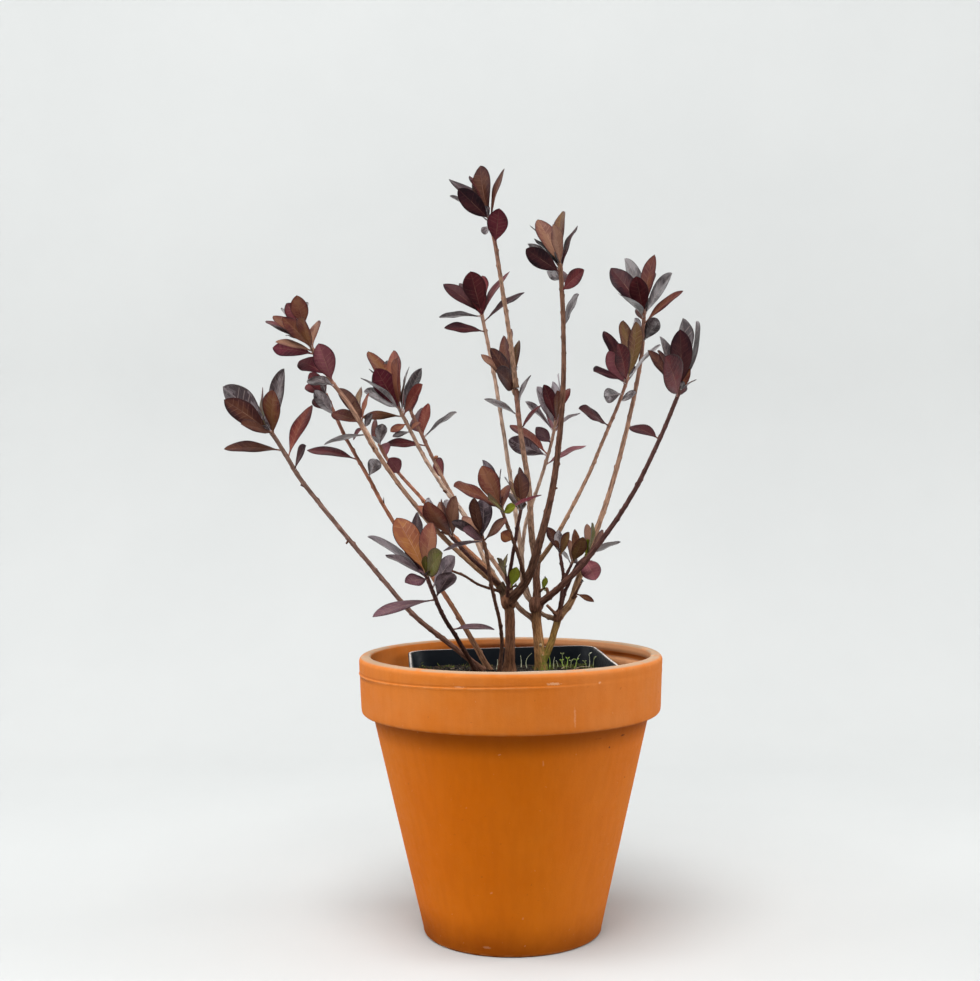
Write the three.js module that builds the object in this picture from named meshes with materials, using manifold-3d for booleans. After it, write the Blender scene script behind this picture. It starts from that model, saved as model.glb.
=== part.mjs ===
// A young azalea with bronze winter leaves, in its nursery pot inside a terracotta pot.
// Millimetres, +Z up. The origin is the centre of the terracotta pot's underside.
import * as THREE from "three";
import { mergeVertices } from "three/addons/utils/BufferGeometryUtils.js";
import Module from "manifold-3d";

const wasm = await Module();
wasm.setup();

// Places on the plant are [across, back, up], as they look from the front: across and up
// are measured in the upright plane through the pot's axis, and back is the depth behind it.
// seen() slides a place along its sight line to that depth.
const SIGHT = { x: -9.5, z: 218.5, distance: 678, lean: THREE.MathUtils.degToRad(0.48) };

const GAP = 0.3; // between neighbouring solids
const BELOW_SIZE = 400; // of the block that cuts at a height

const TERRACOTTA = {
  height: 137.3,
  rim: 75.3, // outer radius of the collar at the lip
  collarFoot: 74.2,
  collarHeight: 28.6,
  shoulder: 68.3, // outer radius of the body under the collar
  base: 44.3,
  wall: 5.8,
  floor: 7,
  lip: 2.6, // rounding of the lip
  footEdge: 1.6,
  collarEase: [1.5, 2], // the worn lower edge of the collar, in and up
  shoulderEase: 1,
  innerEdge: 1.2,
  innerDraft: [0.6, 8], // how far in and down the mouth narrows before the wall runs straight
  innerCorner: 3,
  sides: 44,
};

const NURSERY = {
  foot: 37.5, // height of its underside, where its corners wedge in the taper
  rim: 134.6,
  halfBase: 33.5,
  halfRim: 49,
  rimCorner: 11,
  wall: 1.3,
  lipOut: 0.6,
  lipDepth: 3,
  lipTaper: 0.5,
  lipCorner: 12,
  floor: 2,
  above: 5, // how far the cut that hollows it runs past the rim
  turn: THREE.MathUtils.degToRad(4),
  tilt: THREE.MathUtils.degToRad(-0.8),
  shift: [0.4, -2.5],
};

const SOIL_TOP = 128;
const GROUND = SOIL_TOP + GAP; // where the trunks and the stems from the root are cut flat

const LEAF = {
  petiole: 0.12, // share of the length before the blade
  fullest: 1.36, // power that sets the widest place, about two thirds of the way out
  roundness: 0.78,
  rings: [0.4, 0.68, 0.89],
  fewRings: [0.5, 0.84], // on a narrow leaf
  narrow: 8,
  stalk: 0.45, // least half width
  keel: 0.4, // depth of the midrib under the blade
  fold: 0.16, // rise of the margins, in half widths
  bow: 0.045, // arch along the leaf, in lengths
  slim: 0.4, // least real width, in lengths
  reach: 1.9, // least real length, in seen widths
};

// The lean of a leaf in depth: its real length is this share of the shoot's size, and at most
// so many times the seen one; the lean itself is at least this share of the seen length.
const LEAN = { ofSize: 0.95, most: 1.5, least: 0.3 };

// The leaves that fill a shoot's far side: their spread and rise in degrees, their least
// length in whole ones, and the share of the leafy stem that carries them.
const REST = { fan: 36, rise: [28, 62], least: 0.75, along: 0.4, short: 8, width: 0.4 };

const FLARE_FADE = 3.5; // height over which a trunk's foot narrows
const TAPER = 2; // a limb narrows fast near its foot and little further on
const TWIG_TIP = 0.8; // a twig's radius at its tip, as a share of that at its foot
const BOUGH_STEP = 16;
const BOUGH_SIDES = 5;
const TWIG_STEP = 7;
const TWIG_SIDES = 3;
const FEEL_STEP = 3;
const LOOK = 0.02; // share of a stem either side of a leaf's foot that gives its direction
const SNAP_PLACES = 200; // looked at along a parent limb to root a limb on it

// The whorl at a stem's tip: how far down it reaches, how far below the tip its first leaf
// starts, how much lower each next one, and the number of leaves before it starts over.
const WHORL = { depth: 4, sunk: 1, step: 0.5, turn: 8 };

// Points over a blade that are kept clear: the share of the length, and the places across.
const FEELERS = [
  [0.25, [0]],
  [0.4, [-0.9, 0, 0.9]],
  [0.6, [-0.9, 0, 0.9]],
  [0.8, [-0.9, 0, 0.9]],
  [1, [0]],
];
const OUTER_FEELER = 1; // the first feeler that keeps clear of the same mass too
const CLEAR = {
  limb: 2.2,
  leaf: 3.6,
  own: [3.2, 2.4, 0], // tried in turn; a filling leaf only has the first
  steps: [0, 3, -3, 6, -6, 9, -9, 12, -12, 15, -15], // slides in depth
};

// Trunks and the limbs that carry boughs. r is the radius at the foot and at the top.
const LIMBS = [
  {
    name: "left_trunk",
    route: [[0, 2, GROUND], [0.5, 2, 144], [0.2, 2.5, 158], [-2, 3, 166.2], [-5, 3, 172]],
    r: [2.5, 2.4],
    flare: 1.6,
    sides: 10,
  },
  {
    name: "centre_trunk",
    route: [[16.2, 6, GROUND], [14.7, 6, 144], [13.7, 6, 154], [13.5, 6, 161.5]],
    r: [2.6, 2.5],
    flare: 1.3,
    sides: 10,
  },
  {
    name: "right_limb",
    on: "centre_trunk",
    route: [[17, 6.5, 132.5], [20, 7, 140], [23.5, 8, 151], [25, 8, 156.5]],
    r: [1.9, 1.8],
    sides: 8,
  },
  {
    name: "centre_bough",
    on: "centre_trunk",
    route: [[13.5, 6, 160], [14, 6.5, 169], [13.6, 7, 176], [14, 7, 183.5]],
    r: [2.1, 1.8],
    sides: 8,
  },
];

// Each shoot is a bare bough that ends in a mass of leaves. leafy is the length of stem at
// the tip that belongs to the mass. A leaf is [down, across, up, side, width, tone]: how far
// below the tip it starts, where its point lies from there, whether it leans away (1) or
// near (-1), its seen width, and the tone of the face that shows. rest is the number of
// leaves that fill the far side by the seeded rule, each about as long as size.
const SHOOTS = [
  {
    name: "middle_right",
    on: "left_trunk",
    route: [[2, 3, 163], [8.5, 1.5, 173.2], [15.5, -1.5, 193.8], [22, -6, 220.8], [27, -12, 267.8],
      [27, -15, 304.8], [25.5, -18, 331.8]],
    r: [2.4, 1.1],
    leafy: 35.5,
    leaves: [
      [0, -11, 22, 1, 9, "tan"],
      [0, 0.8, 26, 1, 7, "olive"],
      [0, -3.5, 19.5, -1, 6, "tan"],
      [0, -14.5, 19, 1, 4, "maroon"],
      [0, -12.5, 12.5, 1, 3, "green"],
      [2, -17, 9.3, -1, 9.3, "dark"],
      [0.5, -16, 10.5, 1, 4, "grey"],
      [0, 8.5, 19, -1, 3, "plum"],
      [8.5, -7, 4.5, 1, 5, "grey"],
      [14, 11, 10.8, -1, 7, "plum"],
      [33.5, 7.5, 18, 1, 4, "grey"],
    ],
    rest: 3,
    size: 23,
  },
  {
    name: "tall_lower",
    on: "centre_bough",
    route: [[13.6, 7, 182.5], [11.5, 6.5, 194.8], [10, 4, 219.2], [5.8, 1, 247.2], [3.4, 0, 269.4]],
    r: [1.75, 1.25],
    leafy: 24.5,
    leaves: [
      [8.2, 6.5, 15, -1, 2, "grey"],
      [13.7, -17, 8.5, -1, 3.5, "grey"],
      [21.2, 10.5, 13, 1, 2.5, "plum"],
    ],
    rest: 1,
    size: 18,
    twig: {
      down: 2,
      route: [[3.4, 0, 267.4], [2.4, 4, 268.6], [2, 7, 270]],
      leaves: [
        [0, -4.8, 25.8, 1, 6, "olive"],
        [0, -1.2, 29, 1, 4.5, "rust"],
        [0, 2.8, 23.4, 1, 5.5, "olive"],
        [0, -11, 19.6, 1, 6.5, "green"],
        [0, -15.8, 16.5, -1, 4, "dark"],
        [0, -8.2, 8.5, -1, 8, "bronze"],
        [0, 1.8, 9, 1, 2.5, "olive"],
      ],
      rest: 2,
      size: 24,
    },
  },
  {
    name: "tall_top",
    route: [[3.4, 0, 269.7], [1, -2, 290.8], [-3.2, -5, 318.2], [-7.5, -8, 344.8], [-10, -9, 355.2]],
    r: [1.25, 1],
    leafy: 16.5,
    leaves: [
      [0, -4.5, 25.4, 1, 10, "tan"],
      [0, -15.3, 13.8, -1, 9.5, "dusk"],
      [0, -19.2, 18.8, 1, 7, "dusk"],
      [0, -9.5, 20.4, 1, 4.5, "maroon"],
      [0, 7.5, 24, -1, 2.5, "rust"],
      [0.5, -19.5, 11, 1, 1.5, "grey"],
      [14, 2, 17.7, -1, 10.5, "plum"],
      [1.5, -4, -6.5, -1, 4, "grey"],
    ],
    rest: 2,
    size: 24,
  },
  {
    name: "back_middle",
    on: "centre_trunk",
    route: [[12, 7, 161], [8, 10, 167.8], [6, 14, 187.2], [-0.5, 27, 233.2], [-8, 39, 279.2],
      [-14, 46, 308.2]],
    r: [1.4, 0.95],
    leafy: 14,
    leaves: [
      [0, -5.2, 19.6, -1, 11.5, "maroon"],
      [0, 0.5, 17.6, 1, 8, "maroon"],
      [0, -18.7, 13.5, 1, 7, "maroon"],
      [0, 14, 19.7, 1, 3.5, "rust"],
      [0.5, -21, -2.5, -1, 2.8, "grey"],
      [6, 20.4, 15, 1, 3, "plum"],
      [11, -20.5, 2, -1, 5, "maroon"],
    ],
    rest: 3,
    size: 23,
  },
  {
    name: "far_right",
    on: "centre_trunk",
    route: [[14.5, 5, 160.5], [22.5, 1, 167.8], [34.5, -4, 179.2], [41, -7, 186.8], [60, -15, 213.8],
      [75.2, -25, 244.2], [85.5, -33, 268.8]],
    r: [1.8, 1],
    leafy: 30,
    leaves: [
      [0, 0, 30, -1, 11, "maroon"],
      [0, 1.6, 35.5, 1, 7.5, "grey"],
      [0, 8.4, 34, 1, 3.5, "grey"],
      [0, -10, 26.5, 1, 5, "grey"],
      [0, -16, 19.8, 1, 5.5, "dark"],
      [0.5, -11, 20, -1, 3, "dark"],
      [0.5, -7, 17, -1, 10.3, "plum"],
      [0.5, 5, 11, -1, 5, "maroon"],
      [28, -14.5, 6.5, 1, 6, "plum"],
    ],
    rest: 2,
    size: 27,
  },
  {
    name: "right_back",
    on: "right_limb",
    route: [[25, 8, 155.8], [30.5, 10, 162.2], [34, 12, 172.2], [49, 24, 213.8], [57.5, 32, 243.8],
      [66.2, 43, 286.2], [67.5, 47, 308.2]],
    r: [1.8, 1.05],
    leafy: 18,
    leaves: [
      [0, -16.5, 21.5, 1, 10.3, "plum"],
      [0, -9.5, 26, 1, 6.5, "grey"],
      [0, -4, 17.2, -1, 9.5, "maroon"],
      [0, 5, 28, 1, 7.5, "rust"],
      [0, 13.8, 18.8, 1, 6, "grey"],
      [0.5, -11.5, 8.5, -1, 4, "grey"],
      [4, 19.5, 14, -1, 4, "rust"],
      [16, 7.2, 12, -1, 7.5, "grey"],
    ],
    rest: 3,
    size: 25,
  },
  {
    name: "right_middle",
    on: "centre_bough",
    route: [[14.5, 7, 182], [20, 8, 189.8], [38.5, 14, 223.8], [46, 17, 241.2], [55.5, 21, 263.8],
      [59.5, 23, 275.2]],
    r: [1.2, 0.85],
    leafy: 29,
    leaves: [
      [0, -2.4, 28.2, 1, 8, "olive"],
      [0, 4, 27.5, -1, 7.5, "tan"],
      [0, 3.5, 29.2, 1, 3, "grey"],
      [0, -12, 23, 1, 7, "dark"],
      [0.5, -5, 17, -1, 8.5, "maroon"],
      [4.5, -8.4, 17, -1, 8.5, "rust"],
      [0.5, -17, 3.5, -1, 2.5, "dark"],
      [9, -9.2, -1.2, -1, 7.5, "grey"],
      [13, 8.2, 4, 1, 4, "grey"],
      [0, 16, 16, 1, 2, "grey"],
      [27, -15, 9.2, -1, 4.8, "maroon"],
    ],
    rest: 2,
    size: 25,
  },
  {
    name: "centre_back",
    on: "right_limb",
    route: [[24, 8, 154], [16, 13, 157.2], [11, 17, 163.8], [6.8, 21, 180], [8, 22, 200.2],
      [15.5, 22, 223.2], [21, 22, 241.8], [23.5, 22, 253.8]],
    r: [1.2, 0.8],
    leafy: 26,
    leaves: [
      [0, -6, 17.5, -1, 6.5, "maroon"],
      [0, 0.5, 14.5, -1, 4.5, "bronze"],
      [0, -1.5, 19, 1, 5, "grey"],
      [0, 1, 22.5, 1, 1.8, "dark"],
      [0, 5.8, 15.5, 1, 7, "maroon"],
      [0, -9.4, 16.5, 1, 6, "grey"],
      [3, -14.5, 12, 1, 3, "grey"],
      [0.5, 12, 4, -1, 2.5, "grey"],
      [12, -7.5, 8, -1, 6.5, "maroon"],
      [18.5, -19.5, 8, -1, 9, "grey"],
      [18, -18.7, 15, 1, 6, "rust"],
      [23.5, 20.5, 10, 1, 3.5, "plum"],
    ],
    rest: 3,
    size: 20,
  },
  {
    name: "far_left",
    route: [[-12.5, 6, GROUND], [-27, 3, 139.8], [-47.5, -2, 156.2], [-61.5, -6, 172.2],
      [-104.5, -16, 224.8], [-113, -19, 238.8], [-119.2, -21, 248.2]],
    r: [1.4, 1.05],
    leafy: 23.5,
    leaves: [
      [0, -23.4, 22, 1, 12.5, "grey"],
      [0, -23, 15.6, -1, 11, "dark"],
      [0.5, -14.8, 4, -1, 5.5, "bronze"],
      [0, 6.6, 31, 1, 8, "grey"],
      [0, 1.5, 20.2, -1, 8.5, "rust"],
      [0, -4.2, 21.5, 1, 2.5, "dark"],
      [0, -5.2, 15, 1, 4.5, "green"],
      [12, -29.5, 1, -1, 5.5, "maroon"],
      [16.5, 12, 26.6, 1, 7.3, "rust"],
      [23.5, 5.4, 12.4, -1, 3.3, "maroon"],
    ],
    rest: 3,
    size: 28,
  },
  {
    name: "left",
    on: "left_trunk",
    route: [[-4, 3, 170.5], [-14, 0, 177.8], [-34.5, -4, 196.8], [-49, -7, 213.8], [-66.5, -9, 238.2],
      [-79.5, -11, 260.8], [-88, -12, 272.2], [-98, -13, 288.8], [-102.5, -14, 300.8]],
    r: [1.35, 1],
    leafy: 39,
    leaves: [
      [0, -3.5, 15, -1, 8.5, "rust"],
      [0, 2.2, 11.4, 1, 2, "grey"],
      [12.5, -14.9, 15.9, -1, 7.5, "bronze"],
      [10, -18.5, 14.4, 1, 6.5, "dark"],
      [12, -22.7, 13.8, 1, 5, "dark"],
      [6, -11.6, 12.1, 1, 3.5, "crimson"],
      [12.5, -4.9, 15.7, -1, 5, "rust"],
      [12.5, 2.6, 14.2, 1, 5.5, "olive"],
      [14, -19, 5, -1, 3.5, "green"],
      [15.5, -21.2, 3.4, 1, 8, "plum"],
      [28, -14.5, 7.5, 1, 8.5, "plum"],
      [32, -6.9, 19.4, -1, 11, "plum"],
      [34, -13.6, 3, -1, 5.5, "grey"],
    ],
    rest: 4,
    size: 24,
  },
  {
    name: "left_side",
    meets: "left",
    route: [[-66.8, -9, 238.8], [-69.5, -2, 245.2], [-72.5, 3, 250.2], [-74.5, 6, 254.2]],
    r: [1, 0.8],
    leaves: [
      [0, -10, 15.5, 1, 7, "olive"],
      [0, 0, 15.5, 1, 4.5, "olive"],
      [0, -2.5, 9, -1, 5, "tan"],
      [0, 4.5, 13, -1, 2.5, "rust"],
      [0.5, -14, 3.5, 1, 7, "dark"],
      [6, 3.8, 7, 1, 4, "grey"],
      [3, -4.5, -7.5, 1, 2.5, "plum"],
      [11, -22, -5, 1, 3, "grey"],
    ],
    rest: 1,
    size: 20,
  },
  {
    name: "left_back",
    route: [[-9.5, 10, GROUND], [-31, 12, 164.8], [-58, 16, 203.2], [-71.5, 19, 227.2], [-82, 21, 245.8],
      [-91.5, 23, 266.8]],
    r: [1.45, 0.9],
    leafy: 50,
    leaves: [
      [13.5, -11, 14, -1, 7, "grey"],
      [37, -25.5, 5, 1, 5.5, "maroon"],
      [47, 4.5, 9, -1, 7, "grey"],
    ],
    rest: 3,
    size: 21,
  },
  {
    name: "left_inner",
    on: "left_trunk",
    route: [[-3.5, 4, 170.5], [-10.5, 5, 178.8], [-29.5, 8, 197.8], [-44, 11, 214.8], [-60.5, 14, 233.8],
      [-65, 15, 241.8]],
    r: [1.15, 0.85],
    leafy: 21,
    leaves: [
      [0, 1.5, 10, -1, 6, "grey"],
      [0, -2.5, 12, 1, 4, "dark"],
      [18.5, -5, 8, -1, 8.5, "maroon"],
    ],
    rest: 2,
    size: 18,
  },
  {
    name: "left_middle",
    on: "left_trunk",
    route: [[-3, 4, 169], [-13, 9, 185.8], [-21.5, 13, 205.2], [-30.5, 15, 217], [-41, 18, 232.8],
      [-55, 23, 259.8]],
    r: [1.3, 0.95],
    leafy: 16.5,
    leaves: [
      [0, -15, 28.2, 1, 8, "orange"],
      [0, -11.5, 19.5, -1, 11.5, "maroon"],
      [0, -2.8, 28.5, 1, 8.5, "rust"],
      [0, -0.8, 24.5, -1, 4.5, "orange"],
      [0, -6, 23.5, 1, 6, "grey"],
      [0, 5, 20.5, 1, 1.5, "dark"],
      [0, 11.2, 19.8, 1, 6, "grey"],
      [1.5, 11, 13, -1, 5.5, "maroon"],
      [0.5, -17.5, 8.5, 1, 6, "grey"],
      [0.5, -19, 15.5, -1, 2.5, "grey"],
      [0.5, -15, 20, 1, 2.5, "dark"],
      [5, -20.5, -0.5, -1, 4, "bronze"],
      [9, -8.2, -4, -1, 4, "orange"],
      [13.5, -9.2, -2.5, -1, 3, "grey"],
      [13, 4.5, 4.5, 1, 3, "rust"],
    ],
    rest: 2,
    size: 25,
  },
  {
    name: "left_middle_back",
    on: "centre_trunk",
    route: [[12, 7, 153], [4, 11, 161.2], [-0.5, 14, 172.2], [-11.5, 20, 188.8], [-28, 29, 215.2],
      [-37.8, 36, 234.2], [-49, 43, 257.8]],
    r: [1.4, 0.9],
    leafy: 42.5,
    leaves: [
      [14.5, 2.5, 17, 1, 5.8, "rust"],
      [15, 16.5, 13, 1, 2.5, "grey"],
      [19.5, -20.5, 1, -1, 4.2, "dark"],
      [40, -3.8, 11.5, 1, 6.5, "rust"],
    ],
    rest: 3,
    size: 20,
  },
  {
    name: "front_left",
    route: [[-16.5, 3, GROUND], [-21.5, -3, 137.2], [-26, -9, 144.8], [-33, -22, 156.2],
      [-38.5, -36, 168.8], [-41.5, -45, 176.8]],
    r: [1.15, 1],
    leafy: 47,
    leaves: [
      [0, -14.5, 28, 1, 12.5, "orange"],
      [0, -5, 30.4, 1, 8, "dark"],
      [0, 3, 25.6, -1, 9, "orange"],
      [0, 8, 10.5, -1, 8.5, "olive"],
      [0.5, -29, 19, 1, 4, "grey"],
      [0.5, -20, 10, -1, 4.5, "grey"],
      [0.5, -10.5, -3.8, -1, 6.5, "plum"],
      [12, 11.4, 16.5, 1, 8.5, "grey"],
      [19, 8.2, 13, -1, 9, "grey"],
      [20, -31.5, -8.4, -1, 5.4, "bronze"],
      [44, 21.2, 0.5, 1, 3.2, "plum"],
    ],
    rest: 2,
    size: 26,
  },
  {
    name: "low_left",
    on: "left_trunk",
    route: [[-4, 2, 171], [-12.5, -7, 178.8], [-19.5, -13, 185.2], [-29.5, -20, 196.2]],
    r: [1.05, 0.9],
    leafy: 5,
    leaves: [
      [0, -16.5, 14.5, -1, 5, "bronze"],
      [0, -11, 16.5, -1, 9, "bronze"],
      [0, -5.5, 16.5, 1, 6, "bronze"],
      [0, 2.8, 19.5, -1, 6, "bronze"],
      [0, -4.5, 18, 1, 2, "dark"],
      [0, -1, 17.5, 1, 3.5, "grey"],
      [0, -10.5, 18.5, 1, 5, "grey"],
    ],
    rest: 2,
    size: 20,
  },
  {
    name: "front_middle",
    route: [[-4.8, -4, GROUND], [-3.5, -7, 141.8], [-4.8, -12, 153.8], [-9, -22, 171.8],
      [-11, -31, 185.8], [-13.5, -37, 195.8]],
    r: [0.95, 0.85],
    leafy: 5,
    leaves: [
      [0, -4, 19, -1, 6, "maroon"],
      [0, 1, 19.5, 1, 9, "grey"],
      [0, -15, 7.5, 1, 5, "grey"],
      [0.5, -9.5, 3.5, -1, 5, "dark"],
      [1, -19.5, -6.5, -1, 2.5, "grey"],
      [0, 12.5, 8, -1, 4.5, "bronze"],
    ],
    rest: 3,
    size: 20,
  },
  {
    name: "front_centre",
    on: "middle_right",
    route: [[8.5, 1.5, 173], [4, -13, 188.2], [-0.5, -24, 200.2], [-4, -33, 210.2]],
    r: [0.95, 0.85],
    leafy: 26,
    leaves: [
      [0, -9.5, 20.5, -1, 10.5, "rust"],
      [0, -9, 23.5, 1, 4, "grey"],
      [0, -0.2, 19, 1, 1.5, "dark"],
      [0.5, -23.5, 11, -1, 5, "crimson"],
      [0, 3, 11, 1, 6, "bronze"],
      [1.5, -6.5, 5, -1, 2.5, "green"],
      [0.5, 7, 1, -1, 4.5, "olive"],
      [0.5, 20, 6.5, 1, 2, "plum"],
      [5, 5, 4, -1, 2, "grey"],
      [23, -6, 3.5, -1, 6.5, "orange"],
    ],
    rest: 2,
    size: 20,
  },
  {
    name: "front_right",
    on: "left_trunk",
    route: [[-1, 3, 165], [1, -5, 180.8], [3.5, -13, 196.2], [6, -20, 209.2]],
    r: [0.95, 0.85],
    leafy: 5,
    leaves: [
      [0, 0, 19, -1, 8, "bronze"],
      [0, -0.5, 21, 1, 4.5, "olive"],
      [0, -5, 14, 1, 4.5, "olive"],
      [0, -8, 16, 1, 2, "green"],
    ],
    rest: 3,
    size: 20,
  },
  {
    name: "low_right",
    on: "right_limb",
    route: [[25, 7, 156], [26.5, 6, 167.8], [27, 5, 176.2], [25.5, 3, 187.2]],
    r: [1, 0.8],
    leafy: 17,
    leaves: [
      [0, -6.2, 13, -1, 5, "olive"],
      [0, 4.5, 10.5, -1, 4.5, "orange"],
      [0, -0.8, 11.5, 1, 4.5, "grey"],
      [0, -9, 6.5, 1, 4, "grey"],
    ],
    rest: 2,
    size: 13,
    twig: {
      down: 14,
      route: [[27, 5.5, 173.2], [31, 3, 181.2], [33, 1.5, 185.2]],
      leaves: [
        [0, 0, 14, 1, 4, "bronze"],
        [0, 4, 10, -1, 7, "olive"],
        [0, -2.5, 8.5, 1, 4, "olive"],
        [0, -7, 2.5, 1, 2, "grey"],
      ],
      rest: 2,
      size: 13,
    },
  },
  {
    name: "low_right_back",
    on: "right_limb",
    route: [[25, 8, 156.5], [28, 9.5, 168], [30, 9.5, 172.2], [34, 7, 181.2], [40, 5, 186.8]],
    r: [1, 0.8],
    leafy: 5,
    leaves: [
      [0, -1, 15, 1, 4.5, "green"],
      [0, 1.5, 15.5, 1, 2.5, "green"],
      [0, 7.2, 11.5, 1, 5, "rust"],
      [0, -1, 7.5, -1, 3, "green"],
      [0.5, 3.6, -12.6, -1, 10, "violet"],
      [0.5, 16, 6.5, 1, 2.8, "grey"],
    ],
    rest: 2,
    size: 15,
  },
  {
    name: "fork_sprig",
    meets: "left_trunk",
    route: [[-0.5, 2.5, 164], [-0.6, -3, 169], [-2, -6, 179.2]],
    r: [0.8, 0.6],
    leaves: [
      [0, 1, 7.5, 1, 2.3, "green"],
      [0, -4, 5.5, -1, 2, "green"],
      [0, -3, 2.5, -1, 3, "green"],
    ],
    rest: 1,
    size: 9,
    twig: {
      down: 10,
      route: [[-0.6, -3, 169], [3, -5, 171]],
      leaves: [
        [0, 0.8, 9.2, -1, 5.5, "leafGreen"],
        [0, 0.5, 14, 1, 3, "olive"],
      ],
      rest: 0,
      size: 9,
    },
  },
  {
    name: "centre_sprig",
    meets: "centre_bough",
    route: [[13.8, 6.6, 167], [17.4, 3.5, 169.6]],
    r: [0.7, 0.5],
    leaves: [[0, 1.2, 5.4, 1, 3, "leafGreen"]],
    rest: 1,
    size: 7,
  },
  {
    name: "right_sprig",
    meets: "right_back",
    route: [[31.5, 10.6, 164], [33.5, 7, 167.5], [36.2, 5, 172.8]],
    r: [0.8, 0.55],
    leaves: [[7, 9.2, -4, -1, 3, "bronze"]],
    rest: 0,
    size: 9,
  },
];

// Two thin twigs with no leaves left on them.
const BARE_TWIGS = [
  {
    name: "bare_twig",
    on: "left_trunk",
    route: [[-3, 3, 167.5], [-14.5, -8, 171.2], [-23, -15, 176.2], [-28, -19, 178.2]],
    r: [0.75, 0.6],
    sides: 4,
  },
  {
    name: "cross_twig",
    on: "right_limb",
    route: [[24.2, 8, 155.5], [21, 4, 159.2], [19, 2.5, 161.2]],
    r: [0.85, 0.7],
    sides: 4,
  },
];

const FINISH = {
  terracotta: new THREE.MeshStandardMaterial({ color: 0xc56a2a, roughness: 0.85, metalness: 0 }),
  plastic: new THREE.MeshStandardMaterial({ color: 0x14161c, roughness: 0.35, metalness: 0 }),
  soil: new THREE.MeshStandardMaterial({ color: 0x2a2018, roughness: 1, metalness: 0 }),
  bark: new THREE.MeshStandardMaterial({ color: 0x6a4a38, roughness: 0.9, metalness: 0 }),
  leaf: new THREE.MeshStandardMaterial({ color: 0x5c2b30, roughness: 0.5, metalness: 0 }),
};

// Solids

function dropEmptyTriangles(index) {
  const kept = [];
  for (let i = 0; i < index.length; i += 3) {
    const [a, b, c] = [index[i], index[i + 1], index[i + 2]];
    if (a !== b && b !== c && c !== a) kept.push(a, b, c);
  }
  return new Uint32Array(kept);
}

function solidOf(geometry) {
  const bare = geometry.index ? geometry.toNonIndexed() : geometry.clone();
  for (const key of Object.keys(bare.attributes)) if (key !== "position") bare.deleteAttribute(key);
  const merged = mergeVertices(bare, 1e-4);
  const mesh = new wasm.Mesh({
    numProp: 3,
    vertProperties: merged.attributes.position.array,
    triVerts: dropEmptyTriangles(merged.index.array),
  });
  return new wasm.Manifold(mesh);
}

// The largest body of a solid: a cut can leave a scrap.
function mainBody(solid) {
  const bodies = solid.decompose().filter((body) => body.volume() > 0);
  return bodies.reduce((best, body) => (body.volume() > best.volume() ? body : best));
}

function namedMesh(name, solid, finish) {
  const { numProp, numVert, vertProperties, triVerts } = solid.getMesh();
  const position = new Float32Array(numVert * 3);
  for (let i = 0; i < numVert; i++) {
    position.set(vertProperties.subarray(i * numProp, i * numProp + 3), i * 3);
  }
  const geometry = new THREE.BufferGeometry();
  geometry.setAttribute("position", new THREE.BufferAttribute(position, 3));
  geometry.setIndex(new THREE.BufferAttribute(triVerts, 1));
  geometry.computeVertexNormals();
  const mesh = new THREE.Mesh(geometry, finish);
  mesh.name = name;
  return mesh;
}

function below(height) {
  const size = BELOW_SIZE;
  return solidOf(new THREE.BoxGeometry(size, size, size).translate(0, 0, height - size / 2));
}

// Pots and soil

function terracottaProfile() {
  const t = TERRACOTTA;
  const collarZ = t.height - t.collarHeight;
  const innerBase = t.base - t.wall;
  const innerShoulder = t.shoulder - t.wall;
  const innerRim = t.rim - t.wall;
  const profile = [
    [0, 0],
    [t.base - t.footEdge, 0],
    [t.base, t.footEdge],
    [t.shoulder, collarZ - t.shoulderEase],
    [t.collarFoot - t.collarEase[0], collarZ],
    [t.collarFoot, collarZ + t.collarEase[1]],
    [t.rim, t.height - t.lip],
  ];
  for (const angle of [30, 60, 90]) {
    const a = THREE.MathUtils.degToRad(angle);
    profile.push([t.rim - t.lip + t.lip * Math.cos(a), t.height - t.lip + t.lip * Math.sin(a)]);
  }
  profile.push(
    [innerRim + t.innerEdge, t.height],
    [innerRim, t.height - t.innerEdge],
    [innerRim - t.innerDraft[0], t.height - t.innerDraft[1]],
    [innerShoulder, collarZ],
    [innerBase + t.innerCorner, t.floor],
    [0, t.floor],
  );
  return profile.map(([x, y]) => new THREE.Vector2(x, y));
}

function terracottaSolid() {
  const geometry = new THREE.LatheGeometry(terracottaProfile(), TERRACOTTA.sides);
  geometry.rotateX(Math.PI / 2);
  return solidOf(geometry);
}

function roundedSquare(half, corner) {
  const shape = new THREE.Shape();
  const flat = half - corner;
  shape.moveTo(-flat, -half);
  for (const quarter of [0, 1, 2, 3]) {
    const from = -Math.PI / 2 + (quarter * Math.PI) / 2;
    const x = quarter === 0 || quarter === 1 ? flat : -flat;
    const y = quarter === 1 || quarter === 2 ? flat : -flat;
    shape.absarc(x, y, corner, from, from + Math.PI / 2, false);
  }
  return shape;
}

// A tapered square block with round corners, from one height to another.
function taperedBlock(foot, top, halfFoot, halfTop, corner) {
  const depth = top - foot;
  const shape = roundedSquare(halfTop, corner);
  const geometry = new THREE.ExtrudeGeometry(shape, { depth, bevelEnabled: false, curveSegments: 3 });
  const p = geometry.attributes.position;
  for (let i = 0; i < p.count; i++) {
    const share = p.getZ(i) / depth;
    const scale = (halfFoot + (halfTop - halfFoot) * share) / halfTop;
    p.setXYZ(i, p.getX(i) * scale, p.getY(i) * scale, p.getZ(i) + foot);
  }
  return solidOf(geometry);
}

// Half width of the nursery pot's outside at a height above its underside.
function nurseryHalf(height) {
  const n = NURSERY;
  return n.halfBase + ((n.halfRim - n.halfBase) * height) / (n.rim - n.foot);
}

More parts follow.
